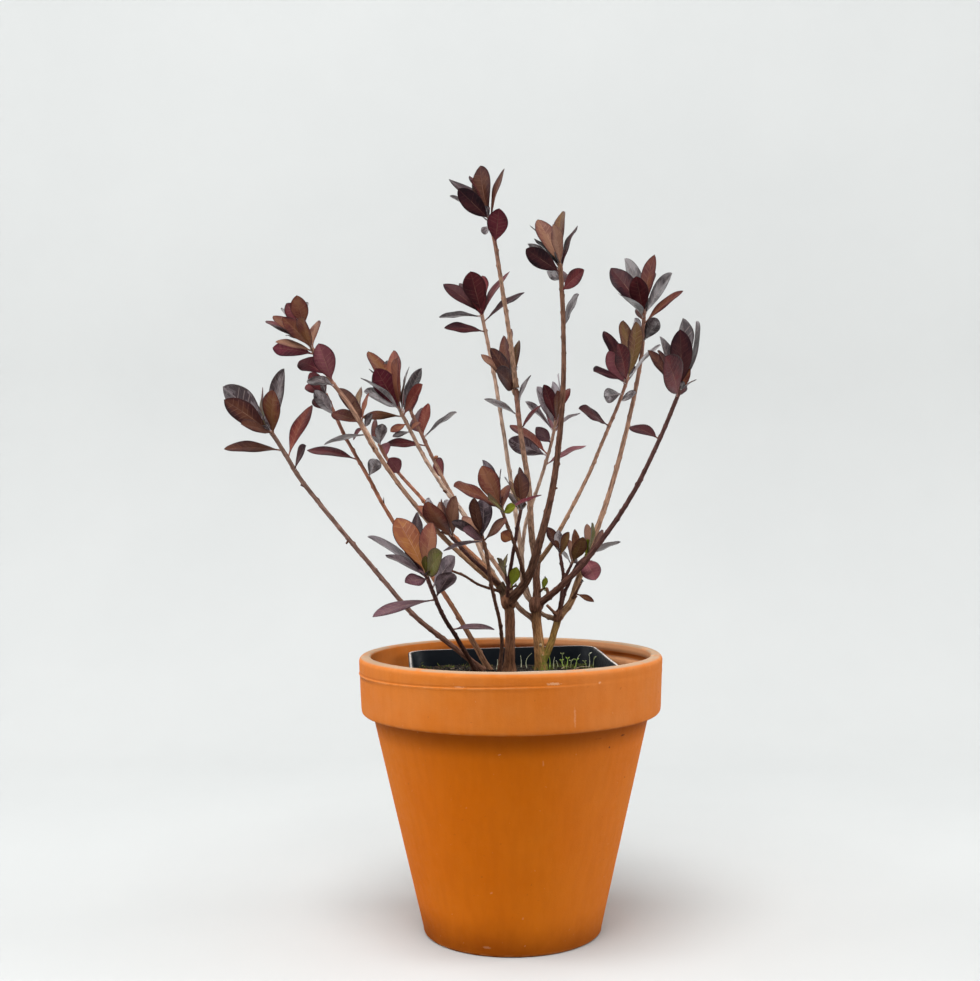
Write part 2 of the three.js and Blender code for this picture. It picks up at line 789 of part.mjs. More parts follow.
function nurserySolids() {
  const n = NURSERY;
  const tall = n.rim - n.foot;
  const outer = taperedBlock(0, tall, n.halfBase, n.halfRim, n.rimCorner);
  const lipHalf = n.halfRim + n.lipOut;
  const lip = taperedBlock(tall - n.lipDepth, tall, lipHalf - n.lipTaper, lipHalf, n.lipCorner);
  const inside = (clear) => taperedBlock(
    n.floor + clear,
    tall + n.above,
    nurseryHalf(n.floor + clear) - n.wall - clear,
    nurseryHalf(tall + n.above) - n.wall - clear,
    n.rimCorner - n.wall,
  );
  const place = (solid) => {
    const matrix = new THREE.Matrix4().makeTranslation(n.shift[0], n.shift[1], n.foot);
    matrix.multiply(new THREE.Matrix4().makeRotationY(n.tilt));
    matrix.multiply(new THREE.Matrix4().makeRotationZ(n.turn));
    return solid.transform(matrix.elements);
  };
  const pot = place(outer.add(lip).subtract(inside(0)));
  const soil = place(inside(GAP)).intersect(below(SOIL_TOP));
  return { pot, soil };
}

// Limbs

function seen([across, back, up]) {
  const reach = (SIGHT.distance + back) / SIGHT.distance;
  const dx = across - SIGHT.x;
  const dz = up - SIGHT.z;
  const x = dx * Math.cos(SIGHT.lean) + dz * Math.sin(SIGHT.lean);
  const z = dz * Math.cos(SIGHT.lean) - dx * Math.sin(SIGHT.lean);
  return new THREE.Vector3(SIGHT.x + x * reach, back, SIGHT.z + z * reach);
}

function routeCurve(route) {
  return new THREE.CatmullRomCurve3(route.map((p) => new THREE.Vector3(...p)), false, "centripetal");
}

// A limb's centre line in real space from one length along it to another, in even pieces.
// Each station has its place, its direction and its radius.
function stationsOf(limb, step, from = 0, to = limb.curve.getLength()) {
  const length = limb.curve.getLength();
  const count = Math.max(2, Math.round((to - from) / step));
  const shares = [];
  for (let i = 0; i <= count; i++) shares.push((from + ((to - from) * i) / count) / length);
  const places = shares.map((share) => seen(limb.curve.getPointAt(Math.min(1, share)).toArray()));
  return places.map((place, i) => {
    const before = places[Math.max(0, i - 1)];
    const after = places[Math.min(count, i + 1)];
    const taper = limb.r[1] + (limb.r[0] - limb.r[1]) * (1 - shares[i]) ** TAPER;
    const flare = (limb.flare ?? 0) * Math.exp((-shares[i] * length) / FLARE_FADE);
    return { place, along: after.clone().sub(before).normalize(), radius: taper + flare };
  });
}

// A round tapering solid through the stations, with flat ends.
function limbSolid(stations, sides, swell = 0) {
  const profile = [new THREE.Vector2(0, 0)];
  stations.forEach((_, i) => profile.push(new THREE.Vector2(1, i)));
  profile.push(new THREE.Vector2(0, stations.length - 1));
  const geometry = new THREE.LatheGeometry(profile, sides);
  const p = geometry.attributes.position;
  const last = stations.length - 1;
  const axes = stations.map(({ along }) => {
    const across = new THREE.Vector3(0, 1, 0).cross(along).normalize();
    return [across, along.clone().cross(across)];
  });
  for (let i = 0; i < p.count; i++) {
    const at = Math.round(p.getY(i));
    const { place, along, radius } = stations[at];
    const [a, b] = axes[at];
    const point = place.clone();
    point.addScaledVector(a, p.getX(i) * (radius + swell));
    point.addScaledVector(b, -p.getZ(i) * (radius + swell));
    if (swell && at === 0) point.addScaledVector(along, -swell);
    if (swell && at === last) point.addScaledVector(along, swell);
    p.setXYZ(i, point.x, point.y, point.z);
  }
  return solidOf(geometry);
}

// Leaves

function bladeShare(t) {
  const u = Math.max(0, (t - LEAF.petiole) / (1 - LEAF.petiole));
  return Math.sin(Math.PI * u ** LEAF.fullest) ** LEAF.roundness;
}

// Where a leaf lies: its foot, the direction to its point, its length and width, and the
// direction that its upper face looks.
function leafFrame(foot, tip, stemWay, seenWidth, showsUnderside) {
  const start = seen(foot);
  const end = seen(tip);
  const along = end.clone().sub(start);
  const length = along.length();
  along.normalize();
  const eye = new THREE.Vector3(SIGHT.x, -SIGHT.distance, SIGHT.z).sub(start).normalize();
  const toEye = eye.addScaledVector(along, -eye.dot(along)).normalize();
  const aside = along.clone().cross(toEye);
  const inward = stemWay.clone().addScaledVector(along, -stemWay.dot(along)).normalize();
  const shown = (seenWidth * (SIGHT.distance + foot[1])) / SIGHT.distance;
  const width = Math.max(shown, LEAF.slim * length);
  const facing = (shown / width) * (showsUnderside ? -1 : 1);
  const turned = Math.sqrt(1 - facing * facing) * (inward.dot(aside) < 0 ? -1 : 1);
  const up = toEye.multiplyScalar(facing).addScaledVector(aside, turned).normalize();
  return { start, along, up, length, width };
}

function bladePoint({ start, along, up, length, width }, t, across, rise) {
  const side = along.clone().cross(up);
  const half = (width / 2) * bladeShare(t);
  const point = start.clone().addScaledVector(along, length * t);
  point.addScaledVector(up, LEAF.bow * length * Math.sin(Math.PI * t) + rise);
  point.addScaledVector(up, LEAF.fold * half * Math.abs(across));
  return point.addScaledVector(side, half * across);
}

// A blade with a flat upper face and a keel under it: three corners at each ring.
function leafSolid(frame) {
  const rings = frame.width > LEAF.narrow ? LEAF.rings : LEAF.fewRings;
  const shares = [0, ...rings, 1];
  const last = shares.length - 1;
  const profile = [new THREE.Vector2(0, 0)];
  shares.forEach((_, i) => profile.push(new THREE.Vector2(i < last ? 1 : 0, i)));
  const geometry = new THREE.LatheGeometry(profile, 3, Math.PI);
  const p = geometry.attributes.position;
  const side = frame.along.clone().cross(frame.up);
  for (let i = 0; i < p.count; i++) {
    const ring = Math.round(p.getY(i));
    const onKeel = p.getZ(i) < 0;
    const across = onKeel ? 0 : Math.sign(p.getX(i));
    const point = bladePoint(frame, shares[ring], across, onKeel ? -LEAF.keel : 0);
    if (ring === 0) point.addScaledVector(side, LEAF.stalk * across);
    p.setXYZ(i, point.x, point.y, point.z);
  }
  return solidOf(geometry);
}

function feelers(frame) {
  const points = [];
  for (const [t, row] of FEELERS) {
    for (const across of row) points.push(bladePoint(frame, t, across, 0));
  }
  return points;
}

function seededDraws(seed) {
  let state = seed;
  return () => {
    state = (state * 1664525 + 1013904223) % 4294967296;
    return state / 4294967296;
  };
}

// How far a leaf leans in depth: as much as its real length is more than its seen one.
function leanOf(across, up, side, width, size) {
  const flat = Math.hypot(across, up);
  const real = Math.min(Math.max(LEAF.reach * width, LEAN.ofSize * size), LEAN.most * flat);
  return side * Math.max(LEAN.least * flat, Math.sqrt(Math.max(0, real * real - flat * flat)));
}

// The way that a shoot's listed leaves point on average, across and up.
function middleOf(leaves) {
  const across = leaves.reduce((sum, leaf) => sum + leaf[1], 0);
  const up = leaves.reduce((sum, leaf) => sum + leaf[2], 0);
  return new THREE.Vector2(across, up).normalize();
}

// The leaves that fill a shoot's far side, in the form of its listed leaves.
function restOf(shoot, draw) {
  const middle = middleOf(shoot.leaves);
  const rest = [];
  for (let i = 0; i < shoot.rest; i++) {
    const turn = THREE.MathUtils.degToRad(-REST.fan / 2 + (REST.fan * (i + draw())) / shoot.rest);
    const rise = THREE.MathUtils.degToRad(REST.rise[0] + (REST.rise[1] - REST.rise[0]) * draw());
    const length = shoot.size * (REST.least + (1 - REST.least) * draw());
    const down = (i % 2 ? draw() : 0) * REST.along * (shoot.leafy ?? REST.short);
    const flat = length * Math.cos(rise);
    const back = flat * Math.cos(turn);
    const aside = flat * Math.sin(turn);
    const out = length * Math.sin(rise);
    const across = middle.x * out + middle.y * aside;
    const up = middle.y * out - middle.x * aside;
    rest.push({ down, across, up, back, width: REST.width * length, filler: true });
  }
  return rest;
}

// Growing the plant

const root = new THREE.Group();
const limbs = new Map(); // each limb with its curve and its solid swollen by the gap
const feel = { limbs: [], leaves: [] };

// The nearest place on a limb's centre line, in the measured frame.
function snapped(place, parent) {
  const target = new THREE.Vector3(...place);
  const places = parent.curve.getSpacedPoints(SNAP_PLACES);
  return places.reduce((best, p) => (p.distanceTo(target) < best.distanceTo(target) ? p : best));
}

function withCurve(limb) {
  const parent = limbs.get(limb.on ?? limb.meets);
  const foot = parent ? snapped(limb.route[0], parent).toArray() : limb.route[0];
  return { ...limb, curve: routeCurve([foot, ...limb.route.slice(1)]) };
}

function trimmed(solid) {
  let cut = solid;
  for (const { swollen } of limbs.values()) {
    if (cut.intersect(swollen).volume() > 0) cut = cut.subtract(swollen);
  }
  return mainBody(cut);
}

function feelAlong(owner, limb, from, to) {
  for (const { place, radius } of stationsOf(limb, FEEL_STEP, from, to)) {
    feel.limbs.push({ owner, place, radius });
  }
}

function growLimb(limb, to) {
  const grown = limb.curve ? limb : withCurve(limb);
  const stations = stationsOf(grown, BOUGH_STEP, 0, to);
  const sides = limb.sides ?? BOUGH_SIDES;
  const name = to === undefined ? limb.name : limb.name + "_bough";
  const solid = trimmed(limbSolid(stations, sides)).subtract(below(GROUND));
  root.add(namedMesh(name, solid, FINISH.bark));
  limbs.set(limb.name, { ...grown, swollen: limbSolid(stations, sides, GAP) });
  feelAlong(name, grown, 0, to);
}

function isClear(owner, points, ownReach) {
  const free = (other, reach) => points.every((p) => p.distanceTo(other.place) > reach);
  for (const limb of feel.limbs) {
    if (limb.owner !== owner && !free(limb, limb.radius + CLEAR.limb)) return false;
  }
  const outer = points.slice(OUTER_FEELER);
  return feel.leaves.every((leaf) => {
    if (leaf.owner !== owner) return free(leaf, CLEAR.leaf);
    return !leaf.outer || outer.every((p) => p.distanceTo(leaf.place) > ownReach);
  });
}

function whorlDrop(mass) {
  mass.whorl += 1;
  return WHORL.step * ((mass.whorl - 1) % WHORL.turn);
}

// A leaf slides in depth along its sight line until it is clear of the neighbours.
function placeLeaf(mass, stem, { down, across, up, back, width, underside, filler }) {
  const length = stem.curve.getLength();
  const from = stem.curve.getPointAt(1 - down / length).toArray();
  const sunk = down > WHORL.depth ? down : Math.max(WHORL.sunk, down) + whorlDrop(mass);
  const share = 1 - Math.min(1, sunk / length);
  const foot = stem.curve.getPointAt(share).toArray();
  const ahead = seen(stem.curve.getPointAt(Math.min(1, share + LOOK)).toArray());
  const behind = seen(stem.curve.getPointAt(Math.max(0, share - LOOK)).toArray());
  const stemWay = ahead.sub(behind).normalize();
  for (const ownReach of filler ? CLEAR.own.slice(0, 1) : CLEAR.own) {
    for (const slide of CLEAR.steps) {
      const tip = [from[0] + across, from[1] + back + slide, from[2] + up];
      const frame = leafFrame(foot, tip, stemWay, width, underside);
      const points = feelers(frame);
      if (!isClear(mass.name, points, ownReach)) continue;
      points.forEach((place, i) => {
        feel.leaves.push({ owner: mass.name, place, outer: i >= OUTER_FEELER });
      });
      mass.solids.push(leafSolid(frame));
      return;
    }
  }
}

function placeListed(mass, stem, shoot) {
  for (const [down, across, up, side, width, tone] of shoot.leaves) {
    const back = leanOf(across, up, side, width, shoot.size);
    placeLeaf(mass, stem, { down, across, up, back, width, underside: tone === "grey" });
  }
}

function growPlant() {
  for (const limb of LIMBS) growLimb(limb);
  const masses = [];
  for (const shoot of SHOOTS) {
    const stem = withCurve(shoot);
    const length = stem.curve.getLength();
    const bare = shoot.leafy ? length - shoot.leafy : 0;
    if (bare) growLimb(stem, bare - GAP);
    masses.push({ name: shoot.name + "_leaves", shoot, stem, bare, whorl: 0, solids: [] });
  }
  for (const twig of BARE_TWIGS) growLimb(twig);
  for (const mass of masses) {
    const { shoot, stem, bare } = mass;
    const solid = limbSolid(stationsOf(stem, TWIG_STEP, bare), TWIG_SIDES);
    mass.solids.push(shoot.meets ? trimmed(solid) : solid);
    feelAlong(mass.name, stem, bare);
    if (!shoot.twig) continue;
    const twig = withCurve({ ...shoot.twig, r: [shoot.r[1], shoot.r[1] * TWIG_TIP] });
    mass.twig = twig;
    mass.solids.push(limbSolid(stationsOf(twig, TWIG_STEP), TWIG_SIDES));
    feelAlong(mass.name, twig, 0);
  }
  for (const mass of masses) {
    placeListed(mass, mass.stem, mass.shoot);
    if (mass.twig) placeListed(mass, mass.twig, mass.shoot.twig);
  }
  masses.forEach((mass, i) => {
    const draw = seededDraws(i + 1);
    for (const leaf of restOf(mass.shoot, draw)) placeLeaf(mass, mass.stem, leaf);
    if (!mass.twig) return;
    for (const leaf of restOf(mass.shoot.twig, draw)) placeLeaf(mass, mass.twig, leaf);
  });
  for (const mass of masses) {
    const joined = mass.solids.reduce((sum, solid) => sum.add(solid));
    root.add(namedMesh(mass.name, mainBody(joined), FINISH.leaf));
  }
}

root.add(namedMesh("terracotta_pot", terracottaSolid(), FINISH.terracotta));
const { pot, soil } = nurserySolids();
root.add(namedMesh("nursery_pot", pot, FINISH.plastic));
root.add(namedMesh("soil", soil, FINISH.soil));
growPlant();

export default root;
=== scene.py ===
import random
from bisect import bisect_right
from math import cos, exp, floor, hypot, pi, radians, sin, sqrt

import bpy
import numpy as np
from mathutils import Matrix, Vector, noise


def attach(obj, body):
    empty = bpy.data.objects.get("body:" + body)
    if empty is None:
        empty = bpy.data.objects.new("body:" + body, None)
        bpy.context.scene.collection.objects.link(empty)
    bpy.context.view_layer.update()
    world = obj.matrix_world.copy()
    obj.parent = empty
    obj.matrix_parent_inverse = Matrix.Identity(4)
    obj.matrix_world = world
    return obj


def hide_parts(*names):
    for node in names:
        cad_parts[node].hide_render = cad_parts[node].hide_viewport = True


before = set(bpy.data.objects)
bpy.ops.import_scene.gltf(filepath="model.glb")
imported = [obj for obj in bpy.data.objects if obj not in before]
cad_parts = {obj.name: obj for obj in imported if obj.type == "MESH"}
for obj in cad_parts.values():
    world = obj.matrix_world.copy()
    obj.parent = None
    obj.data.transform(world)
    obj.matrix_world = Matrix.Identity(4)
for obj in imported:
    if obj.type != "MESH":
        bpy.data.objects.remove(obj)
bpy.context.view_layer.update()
mm = 0.001
fullTurn = 6.28  # for turns that are dealt out at random

# the camera: level, in front of the pot, with a slight roll
cameraView = dict(place=(-0.0095, -0.678, 0.2185), lens=49.81, sensor=36, near=0.01, roll=-0.48)


def makeCamera():
    data = bpy.data.cameras.new("potCamera")
    data.lens = cameraView["lens"]
    data.sensor_width = cameraView["sensor"]
    data.clip_start = cameraView["near"]
    camera = bpy.data.objects.new("potCamera", data)
    bpy.context.scene.collection.objects.link(camera)
    upright = Matrix.Rotation(radians(90), 4, "X")
    roll = Matrix.Rotation(radians(cameraView["roll"]), 4, "Z")
    camera.matrix_world = Matrix.Translation(cameraView["place"]) @ upright @ roll
    bpy.context.scene.camera = camera


makeCamera()
print("camera placed")


# points are in millimetres, here and below
def meshObject(name, points, faces, materials, slots=None, uv=None):
    mesh = bpy.data.meshes.new(name)
    mesh.from_pydata([tuple(value * mm for value in point) for point in points], [], faces)
    for material in materials:
        mesh.materials.append(material)
    if slots is not None:
        mesh.polygons.foreach_set("material_index", slots)
    mesh.polygons.foreach_set("use_smooth", [True] * len(mesh.polygons))
    if uv:
        mesh.uv_layers.new(name="grain").data.foreach_set("uv", [value for pair in uv for value in pair])
    mesh.update()
    piece = bpy.data.objects.new(name, mesh)
    bpy.context.scene.collection.objects.link(piece)
    return piece


def keepPiece(piece, slotName, *nodes):
    if nodes:
        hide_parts(*nodes)
    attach(piece, "root")


def loftFaces(rings, around):
    faces = []
    for a in range(0, (rings - 1) * around, around):
        for k in range(around):
            n = (k + 1) % around
            faces.append((a + k, a + n, a + around + n, a + around + k))
    last = (rings - 1) * around
    return faces + [tuple(reversed(range(around))), tuple(range(last, last + around))]


def smoothStep(low, high, value):
    t = min(1.0, max(0.0, (value - low) / (high - low)))
    return t * t * (3 - 2 * t)


def noiseOf(x, y, z, shift=Vector()):
    return noise.noise(Vector((x, y, z)) + shift)


# noise on a round wall, with one scale around it and one along it
def wallNoise(c, s, along, scale, shift=Vector()):
    return noiseOf(c * scale[0], s * scale[0], along * scale[1], shift)


def spot(rng, low, high):
    return Vector((rng.uniform(low, high), rng.uniform(low, high), rng.uniform(low, high)))


class Nodes:  # a node tree and short ways to add to it, with values or the outputs of other nodes
    def __init__(self, tree):
        self.tree = tree

    def feed(self, socket, value):
        if isinstance(value, bpy.types.NodeSocket):
            self.tree.links.new(value, socket)
        else:
            socket.default_value = (*value, 1.0) if socket.type == "RGBA" else value

    def add(self, kind, inputs=None, **settings):
        node = self.tree.nodes.new("ShaderNode" + kind)
        for key, value in settings.items():
            setattr(node, key, value)
        for key, value in (inputs or {}).items():
            self.feed(node.inputs[key], value)
        return node

    def math(self, operation, a, b=0.5):
        return self.add("Math", {0: a, 1: b}, operation=operation).outputs[0]

    def times(self, product, *others):
        for other in others:
            product = self.math("MULTIPLY", product, other)
        return product

    def plus(self, a, b):
        return self.math("ADD", a, b)

    def minus(self, a, b):
        return self.math("SUBTRACT", a, b)

    def vector(self, operation, *values):
        node = self.add("VectorMath", dict(enumerate(values)), operation=operation)
        return node.outputs["Value" if operation == "LENGTH" else "Vector"]

    def split(self, vector):
        return self.add("SeparateXYZ", dict(Vector=vector)).outputs

    def ramp(self, source, low, high, start=0.0, end=1.0, way="SMOOTHSTEP"):
        reach = {"Value": source, "From Min": low, "From Max": high, "To Min": start, "To Max": end}
        return self.add("MapRange", reach, interpolation_type=way, clamp=True).outputs["Result"]

    def noise(self, vector, scale, detail=3.0, roughness=0.55):
        values = dict(Vector=vector, Scale=scale, Detail=detail, Roughness=roughness)
        return self.add("TexNoise", values).outputs["Fac"]

    def mix(self, factor, a, b, blend="MIX"):
        return self.add("Mix", {0: factor, 6: a, 7: b}, data_type="RGBA", blend_type=blend).outputs[2]

    def use(self, group, **inputs):
        return self.add("Group", inputs, node_tree=group).outputs


# a shader group: None stands for a vector input, three values for a colour and one for a number
def shaderGroup(name, build, outputs, **inputs):
    tree = bpy.data.node_groups.new(name, "ShaderNodeTree")
    for label, value in dict(Vector=None, **inputs).items():
        kind = "Vector" if value is None else "Float" if isinstance(value, float) else "Color"
        socket = tree.interface.new_socket(name=label, in_out="INPUT", socket_type="NodeSocket" + kind)
        if value is not None:
            socket.default_value = value if kind == "Float" else (*value, 1.0)
    for label in outputs:
        kind = "NodeSocketColor" if label == "Color" else "NodeSocketFloat"
        tree.interface.new_socket(name=label, in_out="OUTPUT", socket_type=kind)
    made = build(Nodes(tree), tree.nodes.new("NodeGroupInput").outputs)
    end = tree.nodes.new("NodeGroupOutput")
    for label, source in zip(outputs, made):
        tree.links.new(source, end.inputs[label])
    return tree


def mottleNodes(t, given):  # two tints mixed in soft patches
    patches = t.noise(given["Vector"], given["Scale"], 4.0, 0.6)
    return [t.mix(t.ramp(patches, given["Low"], given["High"]), given["First"], given["Second"])]


def grainNodes(t, given):  # fine pores and grains, as a height and as a roughness
    grain = t.noise(given["Vector"], given["Scale"], 5.0, 0.62)
    swell = t.noise(given["Vector"], t.times(given["Scale"], 0.23), 3.0, 0.5)
    pits = t.times(t.minus(t.ramp(grain, 0.28, 0.42), 1.0), given["Pores"])
    roughness = t.ramp(swell, 0.3, 0.7, given["Smooth"], given["Rough"], "LINEAR")
    return t.plus(t.plus(pits, grain), swell), roughness


def dustNodes(t, given):  # dust that settles on what faces up, in uneven drifts
    facing = t.ramp(t.split(t.add("NewGeometry").outputs["Normal"])["Z"], -0.2, 1.0)
    drifts = t.ramp(t.noise(given["Vector"], given["Scale"], 5.0, 0.65), 0.38, 0.7)
    return [t.times(facing, drifts, given["Amount"])]


def wearNodes(t, given):  # rubbed edges, in a broken line
    edges = t.ramp(t.add("NewGeometry").outputs["Pointiness"], given["Low"], given["High"])
    return [t.times(edges, t.ramp(t.noise(given["Vector"], given["Scale"], 4.0, 0.6), 0.35, 0.6))]


def scuffNodes(t, given):  # a scuff or a chip at one place, with a ragged edge
    away = t.vector("DIVIDE", t.vector("SUBTRACT", given["Vector"], given["Place"]), given["Reach"])
    ragged = t.times(t.noise(given["Vector"], 900.0, 4.0, 0.7), 1.9)
    return [t.times(t.ramp(t.plus(t.vector("LENGTH", away), ragged), 1.75, 1.25), given["Amount"])]


def veinNodes(t, given):  # side veins that rise from the midrib towards the tip of a leaf
    place = t.split(given["Vector"])
    rise = t.times(t.math("POWER", t.math("ABSOLUTE", t.minus(place["X"], 0.5)), 0.8), given["Slope"])
    wobble = t.times(t.noise(given["Vector"], 7.0, 2.0), 0.09)
    turns = t.times(t.minus(t.plus(place["Y"], wobble), rise), given["Count"])
    vein = t.ramp(t.math("PINGPONG", turns, 0.5), 0.0, 0.16, 1.0, 0.0)
    return [t.minus(t.times(t.noise(given["Vector"], 34.0, 3.0, 0.6), 0.35), vein)]


def barkNodes(t, given):  # bark in fine streaks along a limb, from its foot to its tip
    place = t.split(given["Vector"])
    turn = t.times(place["X"], 2 * pi)
    aside, back = (t.times(t.math(way, turn), given["Girth"]) for way in ("COSINE", "SINE"))
    up = t.times(place["Y"], given["Length"])
    skin = t.add("CombineXYZ", dict(X=aside, Y=back, Z=up)).outputs["Vector"]
    streaks = t.noise(skin, 1.3, 5.0, 0.62)
    lower = t.mix(t.ramp(place["Y"], 0.02, 0.4), given["Foot"], given["Middle"])
    whole = t.mix(t.ramp(place["Y"], 0.5, 0.95), lower, given["Top"])
    darker = t.mix(given["Contrast"], whole, (0.30, 0.25, 0.24), "MULTIPLY")
    lighter = t.mix(given["Contrast"], whole, (1.9, 1.85, 1.75), "MULTIPLY")
    streaked = t.mix(t.ramp(streaks, 0.36, 0.62), darker, lighter)
    blotched = t.times(t.ramp(t.noise(skin, 0.4, 3.0, 0.5), 0.52, 0.72), given["Contrast"])
    return t.mix(blotched, streaked, (0.62, 0.55, 0.52), "MULTIPLY"), streaks


grey, brown = (0.5, 0.5, 0.5), (0.15, 0.1, 0.07)
mottle = shaderGroup(
    "mottle", mottleNodes, ["Color"], Scale=60.0, Low=0.35, High=0.65, First=grey, Second=grey)
fineGrain = shaderGroup(
    "fineGrain", grainNodes, ["Height", "Roughness"], Scale=900.0, Pores=0.5, Smooth=0.5, Rough=0.8)
dust = shaderGroup("dust", dustNodes, ["Mask"], Scale=80.0, Amount=0.5)
edgeWear = shaderGroup("edgeWear", wearNodes, ["Mask"], Scale=120.0, Low=0.5, High=0.58)
scuff = shaderGroup("scuff", scuffNodes, ["Mask"], Place=None, Reach=None, Amount=0.5)
leafVeins = shaderGroup("leafVeins", veinNodes, ["Height"], Count=9.0, Slope=0.42)
barkSkin = shaderGroup(
    "barkSkin", barkNodes, ["Color", "Height"], Girth=1.6, Length=26.0, Contrast=0.5,
    Foot=brown, Middle=brown, Top=brown)


class Finish(Nodes):  # a material on the Principled shader
    def __init__(self, name, roughness, specular):
        self.material = bpy.data.materials.new(name)
        self.material.use_nodes = True
        super().__init__(self.material.node_tree)
        self.inputs = self.tree.nodes["Principled BSDF"].inputs
        self.feed(self.inputs["Roughness"], roughness)
        self.feed(self.inputs["Specular IOR Level"], specular)
        self.place = self.add("TexCoord").outputs["Object"]

    def blotches(self, scale, detail, roughness, low, high):
        return self.ramp(self.noise(self.place, scale, detail, roughness), low, high)

    def patches(self, scale, low, high, first, second):
        values = dict(Vector=self.place, Scale=scale, Low=low, High=high, First=first, Second=second)
        return self.use(mottle, **values)["Color"]

    def paint(self, colour):
        self.feed(self.inputs["Base Color"], colour)

    def grain(self, scale, pores, smooth, rough):
        grain = self.use(fineGrain, Vector=self.place, Scale=scale, Pores=pores, Smooth=smooth, Rough=rough)
        self.feed(self.inputs["Roughness"], grain["Roughness"])
        return grain["Height"]

    def relief(self, height, strength, distance):
        bump = self.add("Bump", dict(Strength=strength, Distance=distance, Height=height))
        self.feed(self.inputs["Normal"], bump.outputs["Normal"])


print("shader groups built")

# the middle line of the view, from which the shapes were read
sightLine = dict(x=-9.5, z=218.5, distance=678.0, lean=radians(0.48))

# the terracotta pot: the source's sizes, with its moulding line, rounded lip and small knocks
clayPot = dict(
    height=137.3, rim=75.3, collarFoot=74.2, collarHeight=28.6, shoulder=68.3, base=44.3,
    wall=5.8, floor=7.0, middle=0.5, lip=2.6, innerLip=1.3, footEdge=1.6, collarEdge=2.2,
    around=220, wobble=0.16, wobbleScale=(1.3, 0.012), fine=0.05, fineScale=(9, 0.13), steadyTo=30,
    seamDrop=6.4, seamDepth=0.3, seamTilt=1.7, seamReach=1.3, seamFade=(0.75, -0.35), seamBack=0.6,
    knocks=(  # turn, height, size, depth
        (-1.95, 137.0, 1.6, 0.5), (-0.7, 109.4, 1.5, 0.45), (-2.3, 110, 1.2, 0.35), (0.9, 137.2, 1.3, 0.4),
    ),
    # the dusty tint is dust and wear, and also painted light on the pot's left and right sides
    clay=(0.575, 0.128, 0.002), pale=(0.60, 0.150, 0.006), dustyAndSideLight=(0.66, 0.30, 0.12),
    # the damp tint is painted shade, towards the foot and just under the collar
    dark=(0.22, 0.05, 0.01), paintedShade=(0.46, 0.42, 0.34), stroke=(0.955, 0.945, 0.92),
    # the lime tint is chalk and scuffs, and also painted light on the inner wall; the lip bloom is wear and
    # a painted highlight
    soot=(0.10, 0.03, 0.01), limeAndInsideLight=(0.80, 0.50, 0.30), lipWearAndHighlight=(0.40, 0.30, 0.205),
    scuffs=(  # tint, across, up, half width, half height, amount
        ("limeAndInsideLight", 21.5, 121.6, 4.6, 1.0, 0.5), ("limeAndInsideLight", 44.5, 122.0, 1.0, 0.8, 0.45),
        ("limeAndInsideLight", 32.0, 104.5, 0.8, 7.0, 0.2), ("limeAndInsideLight", -26.0, 120.4, 5.0, 0.7, 0.35),
        ("limeAndInsideLight", 16.0, 82.0, 0.7, 3.0, 0.16), ("limeAndInsideLight", -13.0, -10.0, 3.4, 1.0, 0.2),
        ("soot", 55.5, 95.8, 1.8, 0.6, 0.9), ("soot", 49.0, 89.8, 0.8, 0.8, 0.9),
        ("soot", 56.5, 74.8, 0.6, 0.5, 0.8), ("soot", 44.0, 94.2, 2.6, 0.4, 0.4),
    ),
)
clayLook = dict(  # places in metres; a blotch is its scale, detail, roughness, and where it starts and ends
    # left, right and their share: painted light that makes the pot's sides paler
    collar=(0.108, 0.112), left=(-0.02, -0.075), right=(0.005, 0.05), sideLightShare=0.10,
    drifts=(45.0, 5.0, 0.6, 0.3, 0.75), driftShare=0.12, driftLeast=0.10,
    # foot: painted shade towards the foot; below: a painted shadow just under the collar
    foot=(0.032, 0.004), footShadeUneven=0.02,
    below=(0.0955, 0.1078), collarShadowEnd=(0.1100, 0.1086), collarShadowShare=0.95,
    strokes=(0.35, 0.68), strokeStretch=(1.0, 1.0, 0.12), rubbedShare=0.35,
    chalk=(430.0, 3.0, 0.5, 0.71, 0.79), chalkShare=0.22,
    specks=(560.0, 2.0, 0.4, 0.735, 0.79), speckShare=0.35,
    # inside: painted light on the wall inside the rim, most of all on its right
    litInside=(0.0722, 0.0712), insideUp=(0.118, 0.130), insideAcross=(-0.05, 0.05), insideLightShare=0.42,
    # lip: wear and a painted highlight along the top of the lip
    lip=(0.1362, 0.1371), lipBreaks=(90.0, 4.0, 0.6, 0.25, 0.5), lipWearAndHighlightShare=0.85,
)
collarZ = clayPot["height"] - clayPot["collarHeight"]
seamZ = clayPot["height"] - clayPot["seamDrop"]


def arc(cx, cz, radius, fromAngle, toAngle, count):
    turns = [radians(fromAngle + (toAngle - fromAngle) * i / count) for i in range(count + 1)]
    return [(cx + radius * cos(turn), cz + radius * sin(turn)) for turn in turns]


def between(a, b, count):
    return [(a[0] + (b[0] - a[0]) * i / count, a[1] + (b[1] - a[1]) * i / count) for i in range(count)]


def collarRadius(z):
    slope = (clayPot["rim"] - clayPot["collarFoot"]) / (clayPot["height"] - clayPot["lip"] - collarZ)
    return clayPot["collarFoot"] + slope * (z - collarZ)


